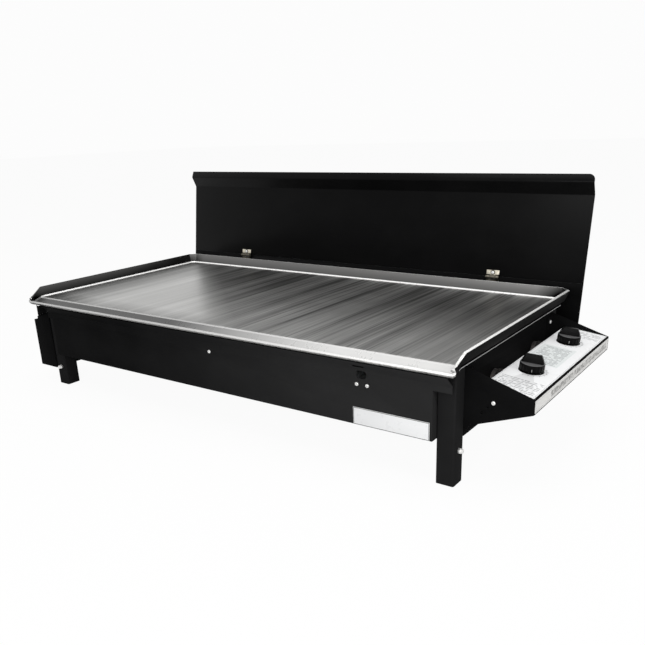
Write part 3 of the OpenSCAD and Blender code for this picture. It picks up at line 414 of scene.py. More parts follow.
bend_highlight_steel, tree, skin = new_material("bend_steel_painted_highlight", metallic=0.2)
along, deep, _ = place_axes(tree)
# Painted highlight and reflection: near white on the rims and the flange feet; across the gutter and its lip, darker
# at the left and paler towards the right.
toward_right = spread(tree, along, -0.12, 0.30, 0.0, 1.0)
tone = 0.92
for until_y, at_left, at_right in (
    (bend_y + 0.004, 0.42, 0.72), (bend_y - 0.004, 0.06, 0.66),
    (gutter_back_y + 0.002, 0.03, 0.58), (gutter_front_y - 0.001, 0.48, 0.74),
):
    shade = combine(tree, "ADD", combine(tree, "MULTIPLY", toward_right, at_right - at_left), at_left)
    tone = toward(tree, tone, shade, combine(tree, "LESS_THAN", deep, until_y))
colour_skin(tree, skin, tone, (0.0, 0.0, 0.0), (1.0, 0.995, 0.98))
polish = object_noise(tree, (60, 8, 60), 3.0, 0.55)
roughen(tree, skin, polish, 0.3, 0.7, 0.24, 0.36)
bump_from(tree, skin, polish, 0.12, 0.0003)

mill_steel, tree, skin = new_material("mill_steel_with_painted_shade", metallic=1.0)
along, _, high = place_axes(tree)
# Painted shade and reflection: paler towards the top of each flange and darker at both ends.
up_flange = spread(tree, high, 0.226, 0.251, 0.085, 0.165)
dark_right = spread(tree, along, 0.47, 0.52, 0.0, 0.122)
dark_left = spread(tree, along, -0.55, -0.60, 0.0, 0.10)
tone = combine(tree, "SUBTRACT", combine(tree, "SUBTRACT", up_flange, dark_left), dark_right)
colour_skin(tree, skin, tone, (0.0, 0.0, 0.0), (1.0, 0.99, 0.97))
rolled = object_noise(tree, (14, 14, 60), 3.0, 0.5)
roughen(tree, skin, rolled, 0.3, 0.7, 0.36, 0.48)
bump_from(tree, skin, object_noise(tree, (700, 700, 700), 2.0), 0.2, 0.0001)

# The underside and the outside of the flanges are near black.
underside_black, tree, skin = new_material("underside_near_black", roughness=0.6)
skin.inputs["Specular IOR Level"].default_value = 0.02
flaked = object_noise(tree, (120, 120, 120), 4.0)
colour_skin(tree, skin, flaked, (0.004, 0.004, 0.004), (0.008, 0.008, 0.008))
bump_from(tree, skin, flaked, 0.2, 0.0001)

for coat in (plate_steel, mill_steel, bend_highlight_steel, underside_black):
    plate.data.materials.append(coat)


def is_unground(face):
    """The faces inside the flanges, above the bend, that the belt doesn't reach; their coat carries painted shade."""
    middle, way = face.calc_center_median(), face.normal
    return 0.0 < way.z < 0.62 and (abs(way.x) > 0.5 or middle.y > 0)


def is_bend_highlight(face):
    """The faces with a painted highlight: the feet of the flanges, the gutter with its lip, and the rims."""
    middle, way = face.calc_center_median(), face.normal
    if way.z < 0.1 and middle.y > lip_y:
        return False
    on_rim = middle.z > plate_high.z - 0.0016 and (middle.y > 0.2 or middle.x > 0)
    on_foot = abs(middle.z - surface_z) < 0.006 and 0.25 < way.z < 0.985
    in_gutter = middle.y < gutter_back_y + 0.012 and middle.z < surface_z - 0.002 and way.z > -0.3
    return on_rim or on_foot or in_gutter


def is_outer_face(face):
    """The underside and the outside of the flanges."""
    middle, way = face.calc_center_median(), face.normal
    return way.z < 0.1 and middle.y > lip_y + near


def coat_faces(piece, index, wanted):
    """Gives the wanted faces of a piece the coat with this index among its materials."""
    wanted_only(piece)
    bpy.ops.object.mode_set(mode="EDIT")
    pick("FACE", wanted)
    piece.active_material_index = index
    bpy.ops.object.material_slot_assign()
    bpy.ops.object.mode_set(mode="OBJECT")


coat_faces(plate, 3, is_outer_face)
coat_faces(plate, 1, is_unground)
coat_faces(plate, 2, is_bend_highlight)
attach(plate, "root")
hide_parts("cooking_plate")


# The body under the plate: four folded sheets, cut, bent and powder-coated black. Front and rear sheets are
# welded to the legs by their end returns, and the side walls carry the plate on a rim turned outward.
sheet_edge = 0.0005


def finished(node, body, coat, edge=sheet_edge, steps=2):
    """The CAD node again as one joined mesh with its sharp edges broken, as a tumbled and coated part has."""
    source = frame["nodes"][node]
    piece = bpy.data.objects.new(node + "_finished", source.data.copy())
    piece.data.name = piece.name
    scene.collection.objects.link(piece)
    wanted_only(piece)
    bpy.ops.object.mode_set(mode="EDIT")
    bpy.ops.mesh.select_all(action="SELECT")
    bpy.ops.mesh.remove_doubles(threshold=0.000002)
    bpy.ops.mesh.dissolve_limited(angle_limit=radians(0.3))
    bpy.ops.object.mode_set(mode="OBJECT")
    if edge:
        apply_modifier(piece, "BEVEL", width=edge, segments=steps, limit_method="ANGLE", angle_limit=radians(28))
    bpy.ops.object.shade_smooth_by_angle(angle=radians(35))
    return dress(piece, node, body, coat)


def dress(piece, node, body, coat):
    """Gives a piece its coat, its body and the node that it stands for."""
    piece.data.materials.clear()
    piece.data.materials.append(coat)
    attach(piece, body)
    if node:
        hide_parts(node)
    return piece


# Powder coat: a low orange peel, and a little dust and handling that change its gloss. It is one coating, but each
# face of the body has its own shade here, which follows the light in the photograph.
powder, powder_out = new_group("powder_coat", "Peel", "Dust")
fine_peel = combine(powder, "MULTIPLY", object_noise(powder, (1500, 1500, 1500), 1.0), 0.4)
peel = combine(powder, "ADD", object_noise(powder, (420, 420, 420), 2.0), fine_peel)
powder.links.new(peel, powder_out.inputs["Peel"])
powder.links.new(object_noise(powder, (7, 7, 11), 5.0, 0.62), powder_out.inputs["Dust"])


def powder_coated(name, dark, dusty_and_lit, gloss, matt, shine, peel_height=0.00012, lit_along=None):
    """A powder coat between a dark and a pale shade, which stand for dust and painted light; given a span along X,
    painted light fades it from the dark shade to the pale one.
    """
    mat, tree, skin = new_material(name)
    coat = place_group(tree, powder)
    dust = spread(tree, coat["Dust"], 0.42, 0.68, 0.0, 1.0)
    shade = dust
    if lit_along:
        shade = toward(tree, spread(tree, place_axes(tree)[0], *lit_along, 0.0, 1.0), dust, 0.15)
    colour_skin(tree, skin, shade, dark, dusty_and_lit)
    roughen(tree, skin, dust, 0.0, 1.0, gloss, matt)
    skin.inputs["Specular IOR Level"].default_value = shine
    bump_from(tree, skin, coat["Peel"], 0.35, peel_height)
    return mat


body_black = powder_coated(
    "body_powder_black", dark=(0.0135, 0.0135, 0.0138), dusty_and_lit=(0.016, 0.016, 0.0163), gloss=0.48, matt=0.52,
    shine=0.003,
)
wall_black = powder_coated(
    "wall_powder_black", dark=(0.0055, 0.0055, 0.0057), dusty_and_lit=(0.007, 0.007, 0.0072), gloss=0.54, matt=0.60,
    shine=0.002,
)
# The front panel's coat is darker at the left end and paler towards the right: painted light.
front_black = powder_coated(
    "front_powder_black", dark=(0.006, 0.006, 0.0062), dusty_and_lit=(0.0245, 0.0245, 0.0248), gloss=0.48, matt=0.52,
    shine=0.003, lit_along=(-0.28, 0.30),
)
for node, coat in (("front_panel", front_black), ("rear_panel", body_black), ("left_side", wall_black)):
    finished(node, "root", coat)
right_wall = finished("right_side", "root", wall_black)
# The outer edge of the right wall's rim is pale grey: a painted highlight.
rim_highlight, tree, skin = new_material("rim_edge_painted_highlight", roughness=0.5)
highlight_mottle = object_noise(tree, (30, 60, 200), 3.0)
colour_skin(tree, skin, highlight_mottle, (0.30, 0.30, 0.30), (0.46, 0.46, 0.455))
right_wall.data.materials.append(rim_highlight)
rim_x = max(v.co.x for v in right_wall.data.vertices) - 0.0006
coat_faces(right_wall, 1, lambda f: f.normal.x > 0.6 and all(v.co.x > rim_x for v in f.verts))


# The legs: four square steel tubes with rounded corners, cut to length and coated with the body.
leg_wall = 0.002
leg_r = 0.0035
corners = ("front_left", "front_right", "rear_left", "rear_right")


def start_block(name, middle, size):
    """Makes a block of this middle and size and opens its mesh."""
    bpy.ops.mesh.primitive_cube_add(size=1, location=middle)
    bpy.context.object.scale = size
    apply_place()
    return start_mesh(name)


def square_tube(node, wall, corner_r):
    """A square tube with rolled corners, filling the node's box."""
    low, high = (Vector(corner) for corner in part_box(node))
    piece = start_block(node + "_tube", (low + high) / 2, high - low)
    pick("EDGE", lambda e: abs(e.verts[0].co.z - e.verts[1].co.z) > 0.01)
    bpy.ops.mesh.bevel(offset=corner_r, segments=5, affect="EDGES")
    pick("FACE", lambda f: abs(f.normal.z) > 0.9)
    bpy.ops.mesh.delete(type="FACE")
    bpy.ops.mesh.select_all(action="SELECT")
    bpy.ops.mesh.normals_make_consistent(inside=False)
    bpy.ops.object.mode_set(mode="OBJECT")
    apply_modifier(piece, "SOLIDIFY", thickness=wall, offset=-1, use_even_offset=True)
    apply_modifier(piece, "BEVEL", width=0.0003, segments=1, limit_method="ANGLE", angle_limit=radians(60))
    return end_mesh(piece)


for corner in corners:
    dress(square_tube("leg_" + corner, leg_wall, leg_r), "leg_" + corner, "root", body_black)


# The inner legs draw out of the legs to level the barbecue; a plastic cap closes the foot of each.
inner_leg_r = 0.0028
inner_black = powder_coated(
    "inner_leg_black", dark=(0.016, 0.016, 0.016), dusty_and_lit=(0.03, 0.029, 0.028), gloss=0.42, matt=0.6, shine=0.4
)
cap_plastic, tree, skin = new_material("foot_cap_plastic", roughness=0.55)
moulded = object_noise(tree, (300, 300, 300), 3.0, 0.6)
colour_skin(tree, skin, moulded, (0.016, 0.016, 0.017), (0.026, 0.026, 0.027))
bump_from(tree, skin, object_noise(tree, (1800, 1800, 1800)), 0.3, 0.0001)
for corner in corners:
    node = "inner_leg_" + corner
    body = "extension_" + corner
    dress(square_tube(node, leg_wall, inner_leg_r), node, body, inner_black)
    finished("foot_cap_" + corner, body, cap_plastic, edge=0.0006, steps=3)


# Bright fasteners: zinc-plated hexagon bolts that clamp the inner legs, and pan-head screws with a cross recess
# in the front and rear panels.
screw_head_r = 0.00375
screw_head_h = 0.0025
screw_r = 0.002
screw_l = 0.006
zinc, tree, skin = new_material("zinc_plate", roughness=0.3, metallic=0.7)
plating = object_noise(tree, (260, 260, 260), 4.0, 0.6)
colour_skin(tree, skin, plating, (0.66, 0.66, 0.65), (0.90, 0.895, 0.88))
roughen(tree, skin, plating, 0.3, 0.7, 0.24, 0.42)
bump_from(tree, skin, object_noise(tree, (900, 900, 900)), 0.2, 0.0001)
finished("leg_bolts", "root", zinc, edge=0.0006)


def loose_parts(node):
    """The low and high corner of each separate solid in a node."""
    shape = bmesh.new()
    shape.from_mesh(frame["nodes"][node].data)
    bmesh.ops.remove_doubles(shape, verts=shape.verts, dist=0.000002)
    left = set(shape.verts)
    boxes = []
    while left:
        group, grow = [], [left.pop()]
        while grow:
            v = grow.pop()
            group.append(v.co.copy())
            for edge in v.link_edges:
                other = edge.other_vert(v)
                if other in left:
                    left.remove(other)
                    grow.append(other)
        low, high = (Vector(end(co[axis] for co in group) for axis in range(3)) for end in (min, max))
        boxes.append((low, high))
    shape.free()
    return sorted(boxes, key=lambda box: tuple(box[0]))


def pan_screw(name, head_r, head_h, shank_r, shank_l):
    """A screw along +Z with its head's seat at 0: a domed head with a cross recess."""
    bpy.ops.mesh.primitive_cylinder_add(vertices=28, radius=head_r, depth=head_h, location=(0, 0, head_h / 2))
    piece = start_mesh(name)
    pick("EDGE", lambda e: min(v.co.z for v in e.verts) > head_h * 0.45)
    bpy.ops.mesh.bevel(offset=head_h * 0.72, segments=5, profile=0.55, affect="EDGES")
    pick("FACE", lambda f: f.normal.z < -0.9)
    bpy.ops.mesh.inset(thickness=head_r - shank_r)
    bpy.ops.mesh.extrude_region_move(TRANSFORM_OT_translate={"value": (0, 0, -shank_l)})
    bpy.ops.mesh.bevel(offset=shank_r * 0.3, segments=1, affect="EDGES")
    bpy.ops.object.mode_set(mode="OBJECT")
    apply_place()
    for turn in (0, pi / 2):
        bpy.ops.mesh.primitive_cube_add(size=1, location=(0, 0, head_h), rotation=(0, 0, turn))
        tool = bpy.context.object
        tool.scale = (head_r * 1.05, head_r * 0.24, head_h * 0.9)
        start_mesh("recess_tool")
        pick("FACE", lambda f: f.normal.z < -0.9)
        bpy.ops.transform.resize(value=(0.45, 0.7, 1))
        bpy.ops.object.mode_set(mode="OBJECT")
        wanted_only(piece)
        apply_modifier(piece, "BOOLEAN", object=tool, operation="DIFFERENCE", solver="EXACT")
        bpy.data.objects.remove(tool)
    return piece


def put_screws(pattern, node, places, body, coat):
    """Copies a screw to each (place, outward direction, turn), as one piece for its node."""
    copies = []
    for place, outward, turn in places:
        copy = bpy.data.objects.new(node + "_screw", pattern.data.copy())
        scene.collection.objects.link(copy)
        aim = Vector(outward).to_track_quat("Z", "Y").to_matrix().to_4x4()
        copy.matrix_world = Matrix.Translation(place) @ aim @ Matrix.Rotation(turn, 4, "Z")
        copies.append(copy)
    bpy.ops.object.select_all(action="DESELECT")
    for copy in copies:
        copy.select_set(True)
    piece = copies[0]
    bpy.context.view_layer.objects.active = piece
    bpy.ops.object.join()
    piece.name = piece.data.name = node + "_heads"
    end_mesh(piece, smooth=radians(40))
    dress(piece, node, body, coat)


def seats(node, first_turn, next_turn):
    """For each screw of a node: its head's seat, its outward direction and its turn."""
    places = []
    for i, (low, high) in enumerate(loose_parts(node)):
        axis = max(range(3), key=lambda k: high[k] - low[k])
        seat = (low + high) / 2
        side = -1 if axis == 1 and seat.y < 0 else 1
        seat[axis] = (high[axis] - screw_head_h) if side > 0 else (low[axis] + screw_head_h)
        outward = [0, 0, 0]
        outward[axis] = side
        places.append((seat, outward, first_turn + next_turn * i))
    return places


sheet_screw = pan_screw("sheet_screw", screw_head_r, screw_head_h, screw_r, screw_l)
put_screws(sheet_screw, "panel_screws", seats("panel_screws", 0.5, 1.1), "root", zinc)


# The badge plate: a thin enamelled tin plate, left bare, with a fine dark line inside its edge. It is riveted low
# on the front panel beside the right leg.
badge_low, badge_high = (Vector(corner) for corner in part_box("badge_plate"))
badge_white, tree, skin = new_material("badge_enamel", roughness=0.3)


def both(tree, a, b):
    """1 where both masks are 1, else 0."""
    return combine(tree, "MULTIPLY", a, b)


def inside(tree, value, low, high):
    """1 where the value lies between low and high, else 0."""
    return both(tree, combine(tree, "GREATER_THAN", value, low), combine(tree, "LESS_THAN", value, high))


def edge_line(tree, low, high, axes, inner, outer):
    """1 in the band between inner and outer metres from the edges of a flat rectangle, else 0."""
    place = place_axes(tree)
    gaps = []
    for axis in axes:
        off = combine(tree, "SUBTRACT", place[axis], (low[axis] + high[axis]) / 2)
        gaps.append(combine(tree, "SUBTRACT", (high[axis] - low[axis]) / 2, combine(tree, "ABSOLUTE", off)))
    return inside(tree, combine(tree, "MINIMUM", *gaps), inner, outer)


keyline = edge_line(tree, badge_low, badge_high, (0, 2), 0.0006, 0.0016)
colour_skin(tree, skin, keyline, (0.78, 0.785, 0.79), (0.02, 0.02, 0.022))
roughen(tree, skin, object_noise(tree, (90, 90, 90), 3.0), 0.3, 0.7, 0.24, 0.38)
bump_from(tree, skin, object_noise(tree, (60, 60, 60), 2.0), 0.15, 0.0003)
finished("badge_plate", "root", badge_white, edge=0.00025)


# The lighting chute behind the oval port: bent zinc-coated sheet that leads a match flame to the front burner.
galvanised, tree, skin = new_material("galvanised_sheet", roughness=0.42, metallic=1.0)
spangle = tree.nodes.new("ShaderNodeTexVoronoi")
spangle.inputs["Scale"].default_value = 160
place = tree.nodes.new("ShaderNodeTexCoord")
tree.links.new(place.outputs["Object"], spangle.inputs["Vector"])
split = tree.nodes.new("ShaderNodeSeparateXYZ")
tree.links.new(spangle.outputs["Color"], split.inputs[0])
flake = split.outputs[0]
colour_skin(tree, skin, flake, (0.20, 0.205, 0.21), (0.34, 0.345, 0.35))
roughen(tree, skin, flake, 0.0, 1.0, 0.34, 0.5)
finished("lighting_chute", "root", galvanised, edge=0.0003)


# The control box: two gussets screwed to the right side wall carry a folded panel that slopes down to the user.
# All three are cut and folded sheet, coated with the body; their coat here is a darker copy of it, a painted shade.
gusset_black = powder_coated(
    "gusset_powder_black", dark=(0.005, 0.005, 0.0052), dusty_and_lit=(0.0065, 0.0065, 0.0067), gloss=0.5, matt=0.56,
    shine=0.004,
)
for node in ("front_gusset", "rear_gusset", "control_panel"):
    finished(node, "root", gusset_black)
put_screws(sheet_screw, "box_bolts", seats("box_bolts", 0.3, 1.7), "root", zinc)
bpy.data.objects.remove(sheet_screw)


# The label over the panel and the strip on the fascia: printed film, laminated and stuck on. They carry only plain
# rules, a tinted field and a scale of marks round each knob.
knob_joints = {j["name"]: j for j in frame["joints"] if j["name"].startswith("knob_")}
knob_places = {end: Vector(knob_joints["knob_%s_turn" % end]["pos_m"]) for end in ("front", "rear")}
panel_out = Vector(knob_joints["knob_front_turn"]["axis"]).normalized()
label_low, label_high = (Vector(corner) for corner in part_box("panel_label"))
label_film, tree, skin = new_material("label_film")
skin.inputs["Specular IOR Level"].default_value = 0.2
film_x, film_y, _ = place_axes(tree)
ink = (0.07, 0.075, 0.08)
margin = 0.006
field_margin = 0.018
row_pitch = 0.0066
row_width = 0.0023
mark_rings = (
    {"inner": 0.0262, "outer": 0.0300, "step": 20, "width": 0.0012},
    {"inner": 0.0262, "outer": 0.0282, "step": 5, "width": 0.0006},
)
first_mark, last_mark = -100, 80
knob_field_r = 0.0228
middle_half = 0.052
front_block_gap = 0.050
rear_block_gap = 0.046


def any_of(tree, masks):
    """1 where one or more of the masks is 1, else 0."""
    found = masks[0]
    for mask in masks[1:]:
        found = combine(tree, "MAXIMUM", found, mask)
    return found


def over(tree, below, mask, colour, share):
    """Prints a colour over what lies below, where the mask is 1."""
    node = tree.nodes.new("ShaderNodeMix")
    node.data_type = "RGBA"
    tree.links.new(combine(tree, "MULTIPLY", mask, share), node.inputs[0])
    tree.links.new(below, node.inputs[6])
    node.inputs[7].default_value = (*colour, 1)
    return node.outputs[2]


def ruled_block(x_range, y_range):
    """Fine broken rules along X in a block of the film, which stand for its rows of print and say nothing."""
    rows = combine(tree, "DIVIDE", combine(tree, "SUBTRACT", film_y, y_range[0]), row_pitch)
    line = combine(tree, "LESS_THAN", combine(tree, "FRACT", rows), row_width / row_pitch)
    unbroken = combine(tree, "GREATER_THAN", object_noise(tree, (150, 90, 1), 1.0), 0.44)
    block = both(tree, inside(tree, film_x, *x_range), inside(tree, film_y, *y_range))
    return both(tree, both(tree, line, unbroken), block)


def from_knob(centre):
    """The way across and along the sloping film from a knob, and the square of the distance."""
    dx = combine(tree, "DIVIDE", combine(tree, "SUBTRACT", film_x, centre.x), panel_out.z)
    dy = combine(tree, "SUBTRACT", film_y, centre.y)
    return dx, dy, combine(tree, "ADD", combine(tree, "MULTIPLY", dx, dx), combine(tree, "MULTIPLY", dy, dy))


def dial_marks(centre, inner, outer, step, width):
    """Radial marks on an arc round a knob, one at each step in degrees."""
    dx, dy, square = from_knob(centre)
    radius = combine(tree, "SQRT", square)
    turn = combine(tree, "ARCTAN2", dy, dx)
    steps = combine(tree, "DIVIDE", combine(tree, "SUBTRACT", turn, radians(first_mark)), radians(step))
    past = combine(tree, "FRACT", combine(tree, "ADD", steps, 0.5))
    off = combine(tree, "ABSOLUTE", combine(tree, "SUBTRACT", past, 0.5))
    arc = combine(tree, "MULTIPLY", combine(tree, "MULTIPLY", off, radians(step)), radius)
    in_turn = inside(tree, turn, radians(first_mark - 2), radians(last_mark + 2))
    on_arc = both(tree, inside(tree, radius, inner, outer), in_turn)
    return both(tree, combine(tree, "LESS_THAN", arc, width / 2), on_arc)


rule_x = (label_low.x + margin, label_high.x - margin)
middle_x = (label_low.x + 2 * margin, label_high.x - field_margin - margin)
middle_y = (knob_places["front"].y + knob_places["rear"].y) / 2
rules = any_of(tree, [
    ruled_block(rule_x, (label_low.y + 2 * margin, knob_places["front"].y - front_block_gap)),
    ruled_block(middle_x, (middle_y - middle_half, middle_y + middle_half)),
    ruled_block(rule_x, (knob_places["rear"].y + rear_block_gap, label_high.y - 2 * margin)),
])
marks = any_of(tree, [dial_marks(centre, **ring) for centre in knob_places.values() for ring in mark_rings])
field_x = inside(tree, film_x, label_low.x + margin, label_high.x - field_margin)
field = both(tree, inside(tree, film_y, middle_y - middle_half - margin, middle_y + middle_half + margin), field_x)
printed = blend_colors(tree, field, (0.90, 0.905, 0.91), (0.78, 0.81, 0.805))
printed = over(tree, over(tree, printed, rules, ink, 0.66), marks, ink, 0.9)
# Under each knob the film is near black: a painted shade.
for centre in knob_places.values():
    under_knob = combine(tree, "LESS_THAN", from_knob(centre)[2], knob_field_r ** 2)
    printed = over(tree, printed, under_knob, (0.004, 0.004, 0.004), 1.0)
outline = edge_line(tree, label_low, label_high, (0, 1), 0.0016, 0.0023)
tree.links.new(over(tree, printed, outline, ink, 0.55), skin.inputs["Base Color"])
roughen(tree, skin, object_noise(tree, (35, 35, 35), 3.0), 0.35, 0.65, 0.50, 0.62)
bump_from(tree, skin, object_noise(tree, (45, 30, 45), 2.0), 0.2, 0.0004)
finished("panel_label", "root", label_film, edge=0.0001, steps=1)

band_from_front = 0.075
band_from_rear = 0.012
band_rim = 0.0055
strip_low, strip_high = (Vector(corner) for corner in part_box("fascia_strip"))
strip_film, tree, skin = new_material("fascia_film", roughness=0.36)
_, along, high = place_axes(tree)
band_y = inside(tree, along, strip_low.y + band_from_front, strip_high.y - band_from_rear)
band_z = inside(tree, high, strip_low.z + band_rim, strip_high.z - band_rim)
mottled = combine(tree, "MULTIPLY", spread(tree, object_noise(tree, (1, 160, 160)), 0.42, 0.56, 0.35, 1.0), 0.85)
strip_base = blend_colors(tree, object_noise(tree, (8, 8, 8)), (0.66, 0.655, 0.635), (0.74, 0.735, 0.715))
strip_base = over(tree, strip_base, both(tree, band_y, band_z), (0.13, 0.128, 0.12), mottled)
strip_line = edge_line(tree, strip_low, strip_high, (1, 2), 0.0026, 0.0034)
tree.links.new(over(tree, strip_base, strip_line, ink, 0.4), skin.inputs["Base Color"])
bump_from(tree, skin, object_noise(tree, (45, 30, 45), 2.0), 0.2, 0.0003)
finished("fascia_strip", "root", strip_film, edge=0.0001, steps=1)


# The gas train under the panel: a plated manifold with its threaded inlet, two brass taps and two injectors.
brass, tree, skin = new_material("tap_brass", metallic=1.0)
tarnish = object_noise(tree, (120, 120, 120), 5.0, 0.6)
colour_skin(tree, skin, tarnish, (0.34, 0.22, 0.085), (0.68, 0.50, 0.22))
roughen(tree, skin, tarnish, 0.3, 0.7, 0.42, 0.24)
bump_from(tree, skin, object_noise(tree, (60, 60, 1400), 2.0), 0.25, 0.00015)
for node in ("gas_manifold", "gas_inlet", "tap_body_front", "tap_body_rear", "injector_front", "injector_rear"):
    finished(node, "root", brass, edge=0.0004)
for end in ("front", "rear"):
    finished("tap_plug_" + end, "plug_" + end, brass, edge=0)
    finished("tap_spindle_" + end, "knob_%s_body" % end, brass, edge=0.0002, steps=1)


# Each tap's return spring: music wire wound round the spindle between plug and collar.
spring_wire, tree, skin = new_material("spring_wire", metallic=1.0)
drawn = object_noise(tree, (500, 500, 500), 3.0)
colour_skin(tree, skin, drawn, (0.30, 0.29, 0.28), (0.55, 0.54, 0.52))
roughen(tree, skin, drawn, 0.3, 0.7, 0.28, 0.42)
for end in ("front", "rear"):
    finished("tap_spring_" + end, "plug_" + end, spring_wire, edge=0)


# The two knobs: moulded black plastic with a fluted skirt, a narrow ledge and a grip bar with slanted ends. Each
# is pressed on its spindle and carries a pale pointer on the skirt.
knob_r = 0.022
knob_foot = 0.0038
skirt_h = 0.012
knob_h = 0.026
grip_w = 0.013
grip_sunk = 0.002
grip_turn = radians(14)
flutes = 20
pointer_turn = radians(-70)
pointer_size = (0.0011, 0.0012, 0.0048)
knob_black, tree, skin = new_material("knob_plastic")
skin.inputs["Specular IOR Level"].default_value = 0.045
grain = object_noise(tree, (900, 900, 900), 2.0)
colour_skin(tree, skin, object_noise(tree, (60, 60, 60), 3.0), (0.002, 0.002, 0.0021), (0.004, 0.004, 0.0041))
roughen(tree, skin, grain, 0.3, 0.7, 0.26, 0.38)
bump_from(tree, skin, grain, 0.25, 0.00006)
# The ledge round the grip is paler grey: a painted highlight.
ledge_highlight, tree, skin = new_material("knob_ledge_painted_highlight", roughness=0.4)
colour_skin(tree, skin, object_noise(tree, (200, 200, 200), 2.0), (0.05, 0.05, 0.051), (0.13, 0.13, 0.132))
pointer_white, tree, skin = new_material("pointer_white", roughness=0.45)
colour_skin(tree, skin, object_noise(tree, (700, 700, 700), 2.0), (0.20, 0.20, 0.195), (0.30, 0.30, 0.29))


def turn_of(co):
    """How far round the knob a place is, in radians."""
    return co.xy.to_2d().angle_signed(Vector((1, 0)), 0)


def knob_shape(name):
    """One knob along +Z with its foot at 0."""
    around = 8 * flutes
    bpy.ops.mesh.primitive_cylinder_add(vertices=around, radius=knob_r, depth=skirt_h, location=(0, 0, skirt_h / 2))
    apply_place()
    piece = start_mesh(name)
    pick("FACE", lambda f: f.normal.z > 0.9)
    bpy.ops.mesh.inset(thickness=0.0016)
    bpy.ops.transform.translate(value=(0, 0, 0.0003))
    bpy.ops.mesh.inset(thickness=0.003)
    pick("EDGE", lambda e: both_ends(e, lambda co: abs(co.z - skirt_h) < 0.00002 and co.xy.length > knob_r - 0.0004))
    bpy.ops.mesh.bevel(offset=0.0012, segments=4, affect="EDGES")
    bpy.ops.mesh.select_all(action="SELECT")
    bpy.ops.mesh.bisect(plane_co=(0, 0, skirt_h - 0.003), plane_no=(0, 0, 1))
    for share, width in ((0.986, 0.37), (0.988, 0.24), (0.992, 0.12)):
        pick("VERT", lambda v: v.co.z < skirt_h - 0.0028 and v.co.xy.length > knob_r * 0.9
             and abs((turn_of(v.co) * flutes / (2 * pi)) % 1 - 0.5) < width)
        bpy.ops.transform.resize(value=(share, share, 1), center_override=(0, 0, 0))
    bpy.ops.object.mode_set(mode="OBJECT")
    apply_modifier(piece, "BEVEL", width=0.0003, segments=2, limit_method="ANGLE", angle_limit=radians(50))
    grip_middle = (0, 0, (skirt_h + knob_h) / 2 - grip_sunk / 2)
    grip = start_block("grip_bar", grip_middle, (2 * knob_r - 0.005, grip_w, knob_h - skirt_h + grip_sunk))
    bpy.ops.mesh.select_all(action="SELECT")
    bpy.ops.mesh.bisect(plane_co=(0, 0, skirt_h + 0.003), plane_no=(0, 0, 1))
    pick("VERT", lambda v: v.co.z > knob_h - 0.0005)
    bpy.ops.transform.resize(value=(0.72, 0.82, 1), center_override=(0, 0, knob_h))
    pick("EDGE", lambda e: min(v.co.z for v in e.verts) > skirt_h - 0.0005)
    bpy.ops.mesh.bevel(offset=0.0014, segments=4, affect="EDGES")
    bpy.ops.mesh.select_all(action="SELECT")
    bpy.ops.transform.rotate(value=-grip_turn, orient_axis="Z", center_override=(0, 0, 0))
    bpy.ops.object.mode_set(mode="OBJECT")
    wanted_only(piece)
    apply_modifier(piece, "BOOLEAN", object=grip, operation="UNION", solver="EXACT")
    bpy.data.objects.remove(grip)
    return piece


knob_pattern = knob_shape("knob_pattern")
side_way = Vector((0, 1, 0))
slope_way = side_way.cross(panel_out)
stand = Matrix((slope_way, side_way, panel_out)).transposed().to_4x4()
for end, centre in knob_places.items():
    body = "knob_%s_body" % end
    here = Matrix.Translation(centre + panel_out * knob_foot) @ stand
    piece = bpy.data.objects.new("knob_%s_moulding" % end, knob_pattern.data.copy())
    scene.collection.objects.link(piece)
    wanted_only(piece)
    piece.matrix_world = here
    end_mesh(piece, smooth=radians(32))
    dress(piece, "knob_" + end, body, knob_black)
    ledge_level = (centre + panel_out * (knob_foot + skirt_h)).dot(panel_out)
    piece.data.materials.append(ledge_highlight)
    coat_faces(piece, 1, lambda f: f.normal.dot(panel_out) > 0.9
               and abs(f.calc_center_median().dot(panel_out) - ledge_level) < 0.0006)
    pointer = start_block("knob_%s_pointer" % end, (knob_r - 0.00035, 0, 0.0033), pointer_size)
    bpy.ops.mesh.select_all(action="SELECT")
    bpy.ops.mesh.bevel(offset=0.0003, segments=2, affect="EDGES")
    bpy.ops.object.mode_set(mode="OBJECT")
    pointer.matrix_world = here @ Matrix.Rotation(pointer_turn, 4, "Z")
    end_mesh(pointer)
    dress(pointer, None, body, pointer_white)
bpy.data.objects.remove(knob_pattern)


# The burners: two long steel tubes with a row of ports on both sides, blued by heat, lying in a cut-out rest. A
# turning shutter over the air windows sets the flame.
burner_steel, tree, skin = new_material("burner_steel", metallic=1.0)
heat = object_noise(tree, (5, 40, 40), 4.0, 0.6)
scale_marks = object_noise(tree, (90, 300, 300), 4.0, 0.65)
blued = blend_colors(tree, spread(tree, heat, 0.35, 0.65, 0.0, 1.0), (0.11, 0.09, 0.08), (0.20, 0.19, 0.19))
scaled = over(tree, blued, spread(tree, scale_marks, 0.55, 0.75, 0.0, 1.0), (0.09, 0.06, 0.04), 0.6)
tree.links.new(scaled, skin.inputs["Base Color"])
roughen(tree, skin, scale_marks, 0.3, 0.7, 0.36, 0.62)
bump_from(tree, skin, scale_marks, 0.3, 0.0003)
for node in ("burner_front", "burner_rear"):
    finished(node, "root", burner_steel, edge=0)
finished("burner_rest", "root", galvanised, edge=0.0004)
# The air shutters are near black: a painted shade inside the body.
zinc_painted_shade, tree, skin = new_material("zinc_painted_shade", roughness=0.6)
skin.inputs["Specular IOR Level"].default_value = 0.1
shade_mottle = object_noise(tree, (60, 90, 90), 4.0, 0.6)
colour_skin(tree, skin, shade_mottle, (0.012, 0.0115, 0.011), (0.035, 0.034, 0.033))
for end in ("front", "rear"):
    finished("air_shutter_" + end, "shutter_" + end, zinc_painted_shade, edge=0.0003, steps=1)


